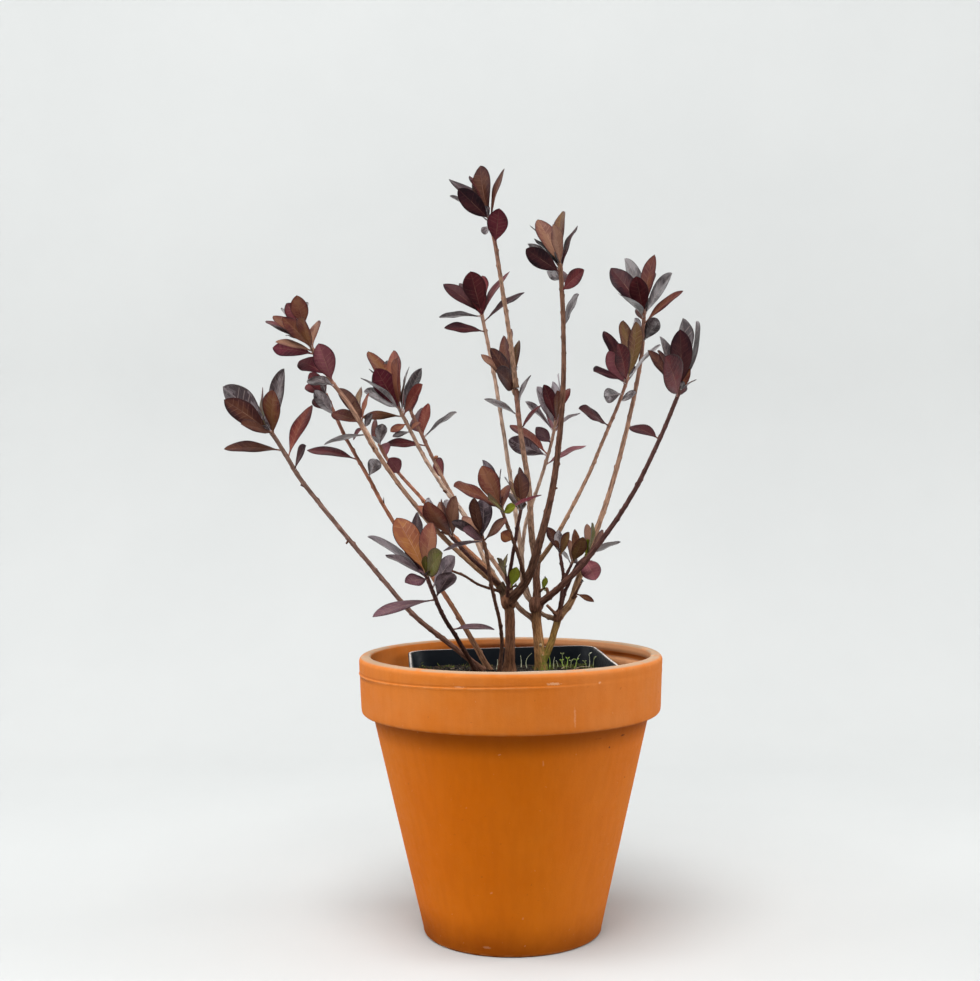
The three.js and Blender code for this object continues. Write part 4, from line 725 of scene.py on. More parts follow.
# shoots with leaves as (down from the tip, across, up, side that leans to the viewer, width, tint)
shoots = [
    dict(name="middle_right", on="left_trunk", r=(2.4, 1.1), leafy=35.5, rest=3, size=23, route=[
        (2, 3, 163), (8.5, 1.5, 173.2), (15.5, -1.5, 193.8), (22, -6, 220.8), (27, -12, 267.8),
        (27, -15, 304.8), (25.5, -18, 331.8),
    ], leaves=[
        (0, -11, 22, 1, 9, "tan"), (0, 0.8, 26, 1, 7, "olive"), (0, -3.5, 19.5, -1, 6, "tan"),
        (0, -14.5, 19, 1, 4, "dusk"), (0, -12.5, 12.5, 1, 3, "dusk"), (2, -17, 9.3, -1, 9.3, "dusk"),
        (0.5, -16, 10.5, 1, 4, "grey"), (0, 8.5, 19, -1, 3, "dusk"), (8.5, -7, 4.5, 1, 5, "grey"),
        (14, 11, 10.8, -1, 7, "maroon"), (33.5, 7.5, 18, 1, 4, "grey"),
    ]),
    dict(name="tall_lower", on="centre_bough", r=(1.75, 1.25), leafy=24.5, rest=1, size=18, route=[
        (13.6, 7, 182.5), (11.5, 6.5, 194.8), (10, 4, 219.2), (5.8, 1, 247.2), (3.4, 0, 269.4),
    ], leaves=[
        (8.2, 6.5, 15, -1, 2, "grey"), (13.7, -17, 8.5, -1, 3.5, "grey"),
        (21.2, 10.5, 13, 1, 2.5, "maroon"),
    ], twig=dict(down=2, rest=2, size=24, route=[
        (3.4, 0, 267.4), (2.4, 4, 268.6), (2, 7, 270),
    ], leaves=[
        (0, -4.8, 25.8, 1, 6, "dark"), (0, -1.2, 29, 1, 4.5, "tan"), (0, 2.8, 23.4, 1, 5.5, "olive"),
        (0, -11, 19.6, 1, 6.5, "umber"), (0, -15.8, 16.5, -1, 4, "tan"), (0, -8.2, 8.5, -1, 8, "umber"),
        (0, 1.8, 9, 1, 2.5, "olive"),
    ])),
    dict(name="tall_top", r=(1.25, 1), leafy=16.5, rest=2, size=24, route=[
        (3.4, 0, 269.7), (1, -2, 290.8), (-3.2, -5, 318.2), (-7.5, -8, 344.8), (-10, -9, 355.2),
    ], leaves=[
        (0, -4.5, 25.4, 1, 10, "umber"), (0, -15.3, 13.8, -1, 9.5, "dusk"), (0, -19.2, 18.8, 1, 7, "dusk"),
        (0, -9.5, 20.4, 1, 4.5, "maroon"), (0, 7.5, 24, -1, 2.5, "umber"), (0.5, -19.5, 11, 1, 1.5, "grey"),
        (14, 2, 17.7, -1, 10.5, "plum"), (1.5, -4, -6.5, -1, 4, "grey"),
    ]),
    dict(name="back_middle", on="centre_trunk", r=(1.4, 0.95), leafy=14, rest=3, size=23, route=[
        (12, 7, 161), (8, 10, 167.8), (6, 14, 187.2), (-0.5, 27, 233.2), (-8, 39, 279.2), (-14, 46, 308.2),
    ], leaves=[
        (0, -5.2, 19.6, -1, 11.5, "maroon"), (0, 0.5, 17.6, 1, 8, "maroon"), (0, -18.7, 13.5, 1, 7, "dusk"),
        (0, 14, 19.7, 1, 3.5, "maroon"), (0.5, -21, -2.5, -1, 2.8, "grey"), (6, 20.4, 15, 1, 3, "dusk"),
        (11, -20.5, 2, -1, 5, "dusk"),
    ]),
    dict(name="far_right", on="centre_trunk", r=(1.8, 1), leafy=30, rest=2, size=27, route=[
        (14.5, 5, 160.5), (22.5, 1, 167.8), (34.5, -4, 179.2), (41, -7, 186.8), (60, -15, 213.8),
        (75.2, -25, 244.2), (85.5, -33, 268.8),
    ], leaves=[
        (0, 0, 30, -1, 11, "dusk"), (0, 1.6, 35.5, 1, 7.5, "grey"), (0, 8.4, 34, 1, 3.5, "grey"),
        (0, -10, 26.5, 1, 5, "grey"), (0, -16, 19.8, 1, 5.5, "umber"), (0.5, -11, 20, -1, 3, "umber"),
        (0.5, -7, 17, -1, 10.3, "maroon"), (0.5, 5, 11, -1, 5, "bronze"), (28, -14.5, 6.5, 1, 6, "dusk"),
    ]),
    dict(name="right_back", on="right_limb", r=(1.8, 1.05), leafy=18, rest=3, size=25, route=[
        (25, 8, 155.8), (30.5, 10, 162.2), (34, 12, 172.2), (49, 24, 213.8), (57.5, 32, 243.8),
        (66.2, 43, 286.2), (67.5, 47, 308.2),
    ], leaves=[
        (0, -16.5, 21.5, 1, 10.3, "dusk"), (0, -9.5, 26, 1, 6.5, "grey"), (0, -4, 17.2, -1, 9.5, "maroon"),
        (0, 5, 28, 1, 7.5, "dark"), (0, 13.8, 18.8, 1, 6, "grey"), (0.5, -11.5, 8.5, -1, 4, "grey"),
        (4, 19.5, 14, -1, 4, "dark"), (16, 7.2, 12, -1, 7.5, "grey"),
    ]),
    dict(name="right_middle", on="centre_bough", r=(1.2, 0.85), leafy=29, rest=2, size=25, route=[
        (14.5, 7, 182), (20, 8, 189.8), (38.5, 14, 223.8), (46, 17, 241.2), (55.5, 21, 263.8),
        (59.5, 23, 275.2),
    ], leaves=[
        (0, -2.4, 28.2, 1, 8, "olive"), (0, 4, 27.5, -1, 7.5, "olive"), (0, 3.5, 29.2, 1, 3, "grey"),
        (0, -12, 23, 1, 7, "dusk"), (0.5, -5, 17, -1, 8.5, "maroon"), (4.5, -8.4, 17, -1, 8.5, "violet"),
        (0.5, -17, 3.5, -1, 2.5, "dusk"), (9, -9.2, -1.2, -1, 7.5, "grey"), (13, 8.2, 4, 1, 4, "grey"),
        (0, 16, 16, 1, 2, "grey"), (27, -15, 9.2, -1, 4.8, "dusk"),
    ]),
    dict(name="centre_back", on="right_limb", r=(1.2, 0.8), leafy=26, rest=3, size=20, route=[
        (24, 8, 154), (16, 13, 157.2), (11, 17, 163.8), (6.8, 21, 180), (8, 22, 200.2), (15.5, 22, 223.2),
        (21, 22, 241.8), (23.5, 22, 253.8),
    ], leaves=[
        (0, -6, 17.5, -1, 6.5, "maroon"), (0, 0.5, 14.5, -1, 4.5, "bronze"), (0, -1.5, 19, 1, 5, "grey"),
        (0, 1, 22.5, 1, 1.8, "dark"), (0, 5.8, 15.5, 1, 7, "crimson"), (0, -9.4, 16.5, 1, 6, "grey"),
        (3, -14.5, 12, 1, 3, "grey"), (0.5, 12, 4, -1, 2.5, "grey"), (12, -7.5, 8, -1, 6.5, "mauve"),
        (18.5, -19.5, 8, -1, 9, "grey"), (18, -18.7, 15, 1, 6, "crimson"),
        (23.5, 20.5, 10, 1, 3.5, "violet"),
    ]),
    dict(name="far_left", r=(1.4, 1.05), leafy=23.5, rest=3, size=28, route=[
        (-12.5, 6, ground), (-27, 3, 139.8), (-47.5, -2, 156.2), (-61.5, -6, 172.2), (-104.5, -16, 224.8),
        (-113, -19, 238.8), (-119.2, -21, 248.2),
    ], leaves=[
        (0, -23.4, 22, 1, 12.5, "grey"), (0, -23, 15.6, -1, 11, "umber"), (0.5, -14.8, 4, -1, 5.5, "umber"),
        (0, 6.6, 31, 1, 8, "grey"), (0, 1.5, 20.2, -1, 8.5, "bronze"), (0, -4.2, 21.5, 1, 2.5, "dark"),
        (0, -5.2, 15, 1, 4.5, "green"), (12, -29.5, 1, -1, 5.5, "umber"),
        (16.5, 12, 26.6, 1, 7.3, "crimson"), (23.5, 5.4, 12.4, -1, 3.3, "dusk"),
    ]),
    dict(name="left", on="left_trunk", r=(1.35, 1), leafy=39, rest=4, size=24, route=[
        (-4, 3, 170.5), (-14, 0, 177.8), (-34.5, -4, 196.8), (-49, -7, 213.8), (-66.5, -9, 238.2),
        (-79.5, -11, 260.8), (-88, -12, 272.2), (-98, -13, 288.8), (-102.5, -14, 300.8),
    ], leaves=[
        (0, -3.5, 15, -1, 8.5, "rust"), (0, 2.2, 11.4, 1, 2, "grey"), (12.5, -14.9, 15.9, -1, 7.5, "dark"),
        (10, -18.5, 14.4, 1, 6.5, "dark"), (12, -22.7, 13.8, 1, 5, "maroon"),
        (6, -11.6, 12.1, 1, 3.5, "plum"), (12.5, -4.9, 15.7, -1, 5, "bronze"),
        (12.5, 2.6, 14.2, 1, 5.5, "tan"), (14, -19, 5, -1, 3.5, "tan"), (15.5, -21.2, 3.4, 1, 8, "plum"),
        (28, -14.5, 7.5, 1, 8.5, "plum"), (32, -6.9, 19.4, -1, 11, "violet"),
        (34, -13.6, 3, -1, 5.5, "grey"),
    ]),
    dict(name="left_side", meets="left", r=(1, 0.8), rest=1, size=20, route=[
        (-66.8, -9, 238.8), (-69.5, -2, 245.2), (-72.5, 3, 250.2), (-74.5, 6, 254.2),
    ], leaves=[
        (0, -10, 15.5, 1, 7, "umber"), (0, 0, 15.5, 1, 4.5, "olive"), (0, -2.5, 9, -1, 5, "tan"),
        (0, 4.5, 13, -1, 2.5, "rust"), (0.5, -14, 3.5, 1, 7, "dark"), (6, 3.8, 7, 1, 4, "grey"),
        (3, -4.5, -7.5, 1, 2.5, "plum"), (11, -22, -5, 1, 3, "grey"),
    ]),
    dict(name="left_back", r=(1.45, 0.9), leafy=50, rest=3, size=21, route=[
        (-9.5, 10, ground), (-31, 12, 164.8), (-58, 16, 203.2), (-71.5, 19, 227.2), (-82, 21, 245.8),
        (-91.5, 23, 266.8),
    ], leaves=[
        (13.5, -11, 14, -1, 7, "grey"), (37, -25.5, 5, 1, 5.5, "maroon"), (47, 4.5, 9, -1, 7, "grey"),
    ]),
    dict(name="left_inner", on="left_trunk", r=(1.15, 0.85), leafy=21, rest=2, size=18, route=[
        (-3.5, 4, 170.5), (-10.5, 5, 178.8), (-29.5, 8, 197.8), (-44, 11, 214.8), (-60.5, 14, 233.8),
        (-65, 15, 241.8),
    ], leaves=[
        (0, 1.5, 10, -1, 6, "grey"), (0, -2.5, 12, 1, 4, "crimson"), (18.5, -5, 8, -1, 8.5, "violet"),
    ]),
    dict(name="left_middle", on="left_trunk", r=(1.3, 0.95), leafy=16.5, rest=2, size=25, route=[
        (-3, 4, 169), (-13, 9, 185.8), (-21.5, 13, 205.2), (-30.5, 15, 217), (-41, 18, 232.8),
        (-55, 23, 259.8),
    ], leaves=[
        (0, -15, 28.2, 1, 8, "bronze"), (0, -11.5, 19.5, -1, 11.5, "plum"), (0, -2.8, 28.5, 1, 8.5, "rust"),
        (0, -0.8, 24.5, -1, 4.5, "rust"), (0, -6, 23.5, 1, 6, "grey"), (0, 5, 20.5, 1, 1.5, "dark"),
        (0, 11.2, 19.8, 1, 6, "grey"), (1.5, 11, 13, -1, 5.5, "crimson"), (0.5, -17.5, 8.5, 1, 6, "grey"),
        (0.5, -19, 15.5, -1, 2.5, "grey"), (0.5, -15, 20, 1, 2.5, "dark"),
        (5, -20.5, -0.5, -1, 4, "bronze"), (9, -8.2, -4, -1, 4, "rust"), (13.5, -9.2, -2.5, -1, 3, "grey"),
        (13, 4.5, 4.5, 1, 3, "rust"),
    ]),
    dict(name="left_middle_back", on="centre_trunk", r=(1.4, 0.9), leafy=42.5, rest=3, size=20, route=[
        (12, 7, 153), (4, 11, 161.2), (-0.5, 14, 172.2), (-11.5, 20, 188.8), (-28, 29, 215.2),
        (-37.8, 36, 234.2), (-49, 43, 257.8),
    ], leaves=[
        (14.5, 2.5, 17, 1, 5.8, "crimson"), (15, 16.5, 13, 1, 2.5, "grey"),
        (19.5, -20.5, 1, -1, 4.2, "maroon"), (40, -3.8, 11.5, 1, 6.5, "maroon"),
    ]),
    dict(name="front_left", r=(1.15, 1), leafy=47, rest=2, size=26, route=[
        (-16.5, 3, ground), (-21.5, -3, 137.2), (-26, -9, 144.8), (-33, -22, 156.2), (-38.5, -36, 168.8),
        (-41.5, -45, 176.8),
    ], leaves=[
        (0, -14.5, 28, 1, 12.5, "orange"), (0, -5, 30.4, 1, 8, "dusk"), (0, 3, 25.6, -1, 9, "rust"),
        (0, 8, 10.5, -1, 8.5, "green"), (0.5, -29, 19, 1, 4, "grey"), (0.5, -20, 10, -1, 4.5, "grey"),
        (0.5, -10.5, -3.8, -1, 6.5, "mauve"), (12, 11.4, 16.5, 1, 8.5, "grey"),
        (19, 8.2, 13, -1, 9, "grey"), (20, -31.5, -8.4, -1, 5.4, "mauve"), (44, 21.2, 0.5, 1, 3.2, "mauve"),
    ]),
    dict(name="low_left", on="left_trunk", r=(1.05, 0.9), leafy=5, rest=2, size=20, route=[
        (-4, 2, 171), (-12.5, -7, 178.8), (-19.5, -13, 185.2), (-29.5, -20, 196.2),
    ], leaves=[
        (0, -16.5, 14.5, -1, 5, "rust"), (0, -11, 16.5, -1, 9, "rust"), (0, -5.5, 16.5, 1, 6, "tan"),
        (0, 2.8, 19.5, -1, 6, "tan"), (0, -4.5, 18, 1, 2, "dark"), (0, -1, 17.5, 1, 3.5, "grey"),
        (0, -10.5, 18.5, 1, 5, "grey"),
    ]),
    dict(name="front_middle", r=(0.95, 0.85), leafy=5, rest=3, size=20, route=[
        (-4.8, -4, ground), (-3.5, -7, 141.8), (-4.8, -12, 153.8), (-9, -22, 171.8), (-11, -31, 185.8),
        (-13.5, -37, 195.8),
    ], leaves=[
        (0, -4, 19, -1, 6, "umber"), (0, 1, 19.5, 1, 9, "grey"), (0, -15, 7.5, 1, 5, "grey"),
        (0.5, -9.5, 3.5, -1, 5, "mauve"), (1, -19.5, -6.5, -1, 2.5, "grey"), (0, 12.5, 8, -1, 4.5, "tan"),
    ]),
    dict(name="front_centre", on="middle_right", r=(0.95, 0.85), leafy=26, rest=2, size=20, route=[
        (8.5, 1.5, 173), (4, -13, 188.2), (-0.5, -24, 200.2), (-4, -33, 210.2),
    ], leaves=[
        (0, -9.5, 20.5, -1, 10.5, "rust"), (0, -9, 23.5, 1, 4, "grey"), (0, -0.2, 19, 1, 1.5, "dark"),
        (0.5, -23.5, 11, -1, 5, "dark"), (0, 3, 11, 1, 6, "dark"), (1.5, -6.5, 5, -1, 2.5, "green"),
        (0.5, 7, 1, -1, 4.5, "leafGreen"), (0.5, 20, 6.5, 1, 2, "plum"), (5, 5, 4, -1, 2, "grey"),
        (23, -6, 3.5, -1, 6.5, "orange"),
    ]),
    dict(name="front_right", on="left_trunk", r=(0.95, 0.85), leafy=5, rest=3, size=20, route=[
        (-1, 3, 165), (1, -5, 180.8), (3.5, -13, 196.2), (6, -20, 209.2),
    ], leaves=[
        (0, 0, 19, -1, 8, "umber"), (0, -0.5, 21, 1, 4.5, "umber"), (0, -5, 14, 1, 4.5, "olive"),
        (0, -8, 16, 1, 2, "green"),
    ]),
    dict(name="low_right", on="right_limb", r=(1, 0.8), leafy=17, rest=2, size=13, route=[
        (25, 7, 156), (26.5, 6, 167.8), (27, 5, 176.2), (25.5, 3, 187.2),
    ], leaves=[
        (0, -6.2, 13, -1, 5, "umber"), (0, 4.5, 10.5, -1, 4.5, "olive"), (0, -0.8, 11.5, 1, 4.5, "grey"),
        (0, -9, 6.5, 1, 4, "grey"),
    ], twig=dict(down=14, rest=2, size=13, route=[
        (27, 5.5, 173.2), (31, 3, 181.2), (33, 1.5, 185.2),
    ], leaves=[
        (0, 0, 14, 1, 4, "bronze"), (0, 4, 10, -1, 7, "olive"), (0, -2.5, 8.5, 1, 4, "tan"),
        (0, -7, 2.5, 1, 2, "grey"),
    ])),
    dict(name="low_right_back", on="right_limb", r=(1, 0.8), leafy=5, rest=2, size=15, route=[
        (25, 8, 156.5), (28, 9.5, 168), (30, 9.5, 172.2), (34, 7, 181.2), (40, 5, 186.8),
    ], leaves=[
        (0, -1, 15, 1, 4.5, "tan"), (0, 1.5, 15.5, 1, 2.5, "green"), (0, 7.2, 11.5, 1, 5, "bronze"),
        (0, -1, 7.5, -1, 3, "leafGreen"), (0.5, 3.6, -12.6, -1, 10, "violet"),
        (0.5, 16, 6.5, 1, 2.8, "grey"),
    ]),
    dict(name="fork_sprig", meets="left_trunk", r=(0.8, 0.6), rest=1, size=9, route=[
        (-0.5, 2.5, 164), (-0.6, -3, 169), (-2, -6, 179.2),
    ], leaves=[
        (0, 1, 7.5, 1, 2.3, "green"), (0, -4, 5.5, -1, 2, "green"), (0, -3, 2.5, -1, 3, "green"),
    ], twig=dict(down=10, rest=0, size=9, route=[
        (-0.6, -3, 169), (3, -5, 171),
    ], leaves=[
        (0, 0.8, 9.2, -1, 5.5, "leafGreen"), (0, 0.5, 14, 1, 3, "rust"),
    ])),
    dict(name="centre_sprig", meets="centre_bough", r=(0.7, 0.5), rest=1, size=7, route=[
        (13.8, 6.6, 167), (17.4, 3.5, 169.6),
    ], leaves=[
        (0, 1.2, 5.4, 1, 3, "leafGreen"),
    ]),
    dict(name="right_sprig", meets="right_back", r=(0.8, 0.55), rest=0, size=9, route=[
        (31.5, 10.6, 164), (33.5, 7, 167.5), (36.2, 5, 172.8),
    ], leaves=[
        (7, 9.2, -4, -1, 3, "bronze"),
    ]),
]
bareTwigs = [
    dict(name="bare_twig", on="left_trunk", r=(0.75, 0.6), sides=4, route=[
        (-3, 3, 167.5), (-14.5, -8, 171.2), (-23, -15, 176.2), (-28, -19, 178.2),
    ]),
    dict(name="cross_twig", on="right_limb", r=(0.85, 0.7), sides=4, route=[
        (24.2, 8, 155.5), (21, 4, 159.2), (19, 2.5, 161.2),
    ]),
]

flareFade = 3.5
taperPower = 2


# a limb in steps: the place, the way it grows, its radius and how far along it is
def stationsOf(limb, step, start=0.0, end=None):
    curve, (foot, tip) = limb["curve"], limb["r"]
    end = curve.length if end is None else end
    count = max(2, int(floor((end - start) / step + 0.5)))
    shares = [(start + (end - start) * i / count) / curve.length for i in range(count + 1)]
    places = [seen(curve.along(min(1.0, share))) for share in shares]
    stations = []
    for i, (place, share) in enumerate(zip(places, shares)):
        along = (places[min(count, i + 1)] - places[max(0, i - 1)]).normalized()
        taper = tip + (foot - tip) * (1 - share) ** taperPower
        flare = limb.get("flare", 0) * exp(-share * curve.length / flareFade)
        stations.append((place, along, taper + flare, share * curve.length))
    return stations


leafRule = dict(
    petiole=0.12, fullest=1.36, roundness=0.78, fold=0.16, bow=0.045, slim=0.4, reach=1.9,
    ofSize=0.95, most=1.5, least=0.3,
)
restRule = dict(fan=36, rise=(28, 62), least=0.75, along=0.4, short=8, width=0.4)
whorlRule = dict(depth=4, sunk=1, step=0.5, turn=8, around=0.02)
feelRows = [(0.25, (0,)), (0.4, (-0.9, 0, 0.9)), (0.6, (-0.9, 0, 0.9)), (0.8, (-0.9, 0, 0.9)), (1, (0,))]
clearRule = dict(
    limb=2.2, leaf=3.6, own=(3.2, 2.4, 0), steps=(0, 3, -3, 6, -6, 9, -9, 12, -12, 15, -15), every=3)
twigTaper = 0.8


# how wide a leaf is at a share of its length, as a share of its full width
def outlineShare(t, roundness=leafRule["roundness"], fullest=leafRule["fullest"]):
    u = min(1.0, max(0.0, (t - leafRule["petiole"]) / (1 - leafRule["petiole"])))
    return max(0.0, sin(pi * u**fullest)) ** roundness


def leafFrame(foot, tip, stemWay, seenWidth, underside):
    start, end = seen(foot), seen(tip)
    along = end - start
    length = along.length
    along = along.normalized()
    eye = (Vector((sightLine["x"], -sightLine["distance"], sightLine["z"])) - start).normalized()
    toEye = (eye - along * eye.dot(along)).normalized()
    aside = along.cross(toEye)
    inward = (stemWay - along * stemWay.dot(along)).normalized()
    shown = seenWidth * (sightLine["distance"] + foot[1]) / sightLine["distance"]
    width = max(shown, leafRule["slim"] * length)
    facing = shown / width * (-1 if underside else 1)
    turned = sqrt(max(0.0, 1 - facing * facing)) * (-1 if inward.dot(aside) < 0 else 1)
    up = (toEye * facing + aside * turned).normalized()
    return dict(start=start, along=along, up=up, side=along.cross(up), length=length, width=width)


def bladePoint(leaf, t, across):
    half = leaf["width"] / 2 * outlineShare(t)
    rise = leafRule["bow"] * leaf["length"] * sin(pi * t) + leafRule["fold"] * half * abs(across)
    middle = leaf["start"] + leaf["along"] * leaf["length"] * t
    return middle + leaf["up"] * rise + leaf["side"] * half * across


def seededDraws(seed):
    while True:
        seed = (seed * 1664525 + 1013904223) % 4294967296
        yield seed / 4294967296


# how far a leaf's tip lies in front of or behind its foot
def leanOf(across, up, side, width, size):
    flat = hypot(across, up)
    real = min(max(leafRule["reach"] * width, leafRule["ofSize"] * size), leafRule["most"] * flat)
    return side * max(leafRule["least"] * flat, sqrt(max(0.0, real * real - flat * flat)))


# the leaves on the side that the photo hides
def restOf(shoot, draws):
    middle = np.array([sum(leaf[1] for leaf in shoot["leaves"]), sum(leaf[2] for leaf in shoot["leaves"])])
    middle = middle / np.linalg.norm(middle)
    fan, (flattest, steepest) = restRule["fan"], restRule["rise"]
    rest = []
    for i in range(shoot["rest"]):
        turn = radians(-fan / 2 + fan * (i + next(draws)) / shoot["rest"])
        rise = radians(flattest + (steepest - flattest) * next(draws))
        length = shoot["size"] * (restRule["least"] + (1 - restRule["least"]) * next(draws))
        down = (next(draws) if i % 2 else 0) * restRule["along"] * shoot.get("leafy", restRule["short"])
        flat, out = length * cos(rise), length * sin(rise)
        aside = flat * sin(turn)
        rest.append(dict(
            down=down, across=middle[0] * out + middle[1] * aside, up=middle[1] * out - middle[0] * aside,
            back=flat * cos(turn), width=restRule["width"] * length))
    return rest


class Plant:
    def __init__(self):
        self.limbs, self.masses = {}, []
        self.limbOwners, self.limbSpots, self.limbReach = [], [], []
        self.leafOwners, self.leafSpots, self.leafOuter = [], [], []

    def withCurve(self, limb):
        parent = self.limbs.get(limb.get("on") or limb.get("meets"))
        foot = limb["route"][0]
        if parent:
            foot = nearest(parent["curve"], lambda p: np.linalg.norm(p - np.array(foot, float)))
        return {**limb, "curve": Route([tuple(foot), *limb["route"][1:]])}

    def feelAlong(self, owner, limb, start=0.0, end=None):
        for place, _, radius, _ in stationsOf(limb, clearRule["every"], start, end):
            self.limbOwners.append(owner)
            self.limbSpots.append(tuple(place))
            self.limbReach.append(radius + clearRule["limb"])

    def isClear(self, owner, points, ownReach):
        mine = np.array(self.limbOwners) == owner
        away = np.linalg.norm(points[:, None] - np.array(self.limbSpots)[None], axis=2)
        if ((away <= np.array(self.limbReach)[None]) & ~mine[None]).any():
            return False
        if not self.leafOwners:
            return True
        mine = np.array(self.leafOwners) == owner
        away = np.linalg.norm(points[:, None] - np.array(self.leafSpots)[None], axis=2)
        outer = mine & np.array(self.leafOuter)
        return not ((away[:, ~mine] <= clearRule["leaf"]).any() or (away[1:, outer] <= ownReach).any())

    def placeLeaf(self, mass, stem, down, across, up, back, width, tone=None):
        curve = stem["curve"]
        start = curve.along(1 - down / curve.length)
        sunk = down
        if down <= whorlRule["depth"]:
            sunk = max(whorlRule["sunk"], down) + whorlRule["step"] * (mass["whorl"] % whorlRule["turn"])
            mass["whorl"] += 1
        share = 1 - min(1, sunk / curve.length)
        foot = tuple(curve.along(share))
        ahead = seen(curve.along(min(1, share + whorlRule["around"])))
        stemWay = (ahead - seen(curve.along(max(0, share - whorlRule["around"])))).normalized()
        for ownReach in clearRule["own"] if tone else clearRule["own"][:1]:
            for slide in clearRule["steps"]:
                tip = (start[0] + across, start[1] + back + slide, start[2] + up)
                leaf = leafFrame(foot, tip, stemWay, width, tone == "grey")
                points = np.array([bladePoint(leaf, t, a) for t, row in feelRows for a in row])
                if self.isClear(mass["name"], points, ownReach):
                    self.leafOwners += [mass["name"]] * len(points)
                    self.leafSpots += [tuple(point) for point in points]
                    self.leafOuter += [i >= 1 for i in range(len(points))]
                    mass["leaves"].append({**leaf, "tone": tone})
                    return

    def growLimbs(self, wanted):
        for limb in wanted:
            self.limbs[limb["name"]] = self.withCurve(limb)
            self.feelAlong(limb["name"], self.limbs[limb["name"]])

    def grow(self):
        self.growLimbs(limbs)
        for shoot in shoots:
            name, stem = shoot["name"], self.withCurve(shoot)
            bare = stem["curve"].length - shoot["leafy"] if shoot.get("leafy") else 0
            if bare:
                self.limbs[name] = stem
                self.feelAlong(name + "_bough", stem, 0, bare - ownSpace)
            self.masses.append(dict(
                name=name + "_leaves", shoot=shoot, bare=bare, whorl=0, leaves=[], stems=[(stem, shoot)]))
        self.growLimbs(bareTwigs)
        for mass in self.masses:
            shoot = mass["shoot"]
            self.feelAlong(mass["name"], mass["stems"][0][0], mass["bare"])
            if shoot.get("twig"):
                tip = shoot["r"][1]
                twig = self.withCurve({**shoot["twig"], "r": (tip, tip * twigTaper)})
                mass["stems"].append((twig, shoot["twig"]))
                self.feelAlong(mass["name"], twig)
        for mass in self.masses:
            for stem, shoot in mass["stems"]:
                for down, across, up, side, width, tone in shoot["leaves"]:
                    back = leanOf(across, up, side, width, shoot["size"])
                    self.placeLeaf(mass, stem, down, across, up, back, width, tone)
        for i, mass in enumerate(self.masses):
            draws = seededDraws(i + 1)
            for stem, shoot in mass["stems"]:
                for leaf in restOf(shoot, draws):
                    self.placeLeaf(mass, stem, **leaf)


plant = Plant()
plant.grow()
print("plant grown:", sum(len(mass["leaves"]) for mass in plant.masses), "leaves")

# bark: tubes with fissures, leaf scars and swollen joints
bark = dict(
    around=16, step=0.75, trunkAround=36, trunkStep=0.5, bury=3.2, footGrowth=1.05, seed=5,
    wander=0.12, wanderScale=0.12, collar=0.45, collarFade=3.0, ridges=0.5, ridgeFade=3.0,
    fissure=0.22, crack=1.4, lift=0.2, grain=0.05,
    ridgeScale=(2.6, 0.1), crackScale=(3.4, 0.16), grainScale=(4, 0.9),
    scarFirst=(1, 4), scarEvery=6.0, scarSpacing=(0.5, 1.4), scarTurn=2.4, scarNear=3, scarSize=(0.5, 1.3),
    scarRise=0.34, scarWide=0.6, scarLength=0.6,
    rimShare=0.3, rimBelow=1.8, rimWide=3, dot=0.12, dotBelow=0.4,
)


def ringAxes(ways):
    side = Vector((0, 1, 0)).cross(ways[0]).normalized()
    axes = []
    for along in ways:
        side = (side - along * side.dot(along)).normalized()
        axes.append((side, along.cross(side)))
    return axes


def onRing(centre, a, b, turn, radius):
    return centre + a * (radius * cos(turn)) + b * (radius * sin(turn))


# leaf scars wind up a limb: how far along, at which turn and how large
def scarMarks(rng, begin, finish, wanted):
    p, marks = bark, []
    at, turn = begin + rng.uniform(*p["scarFirst"]), rng.uniform(0, fullTurn)
    while wanted and at < finish - 1:
        marks.append((at, turn % (2 * pi), rng.uniform(*p["scarSize"])))
        at += p["scarEvery"] * rng.uniform(*p["scarSpacing"])
        turn += p["scarTurn"]
    return marks


# a scar: a low swelling with a dot in it and a rim below it
def scarHeight(s, theta, mark):
    p, (markAt, markTurn, size) = bark, mark
    apart = abs((theta - markTurn + pi) % (2 * pi) - pi)
    height = p["scarRise"] * size * exp(-((apart / p["scarWide"]) ** 2))
    below = (s - markAt) / p["scarLength"]
    rim = p["rimShare"] * height * exp(-((below + p["rimBelow"]) ** 2) / p["rimWide"])
    return height * exp(-(below**2)) + rim + p["dot"] * size * exp(-((below + p["dotBelow"]) ** 2))


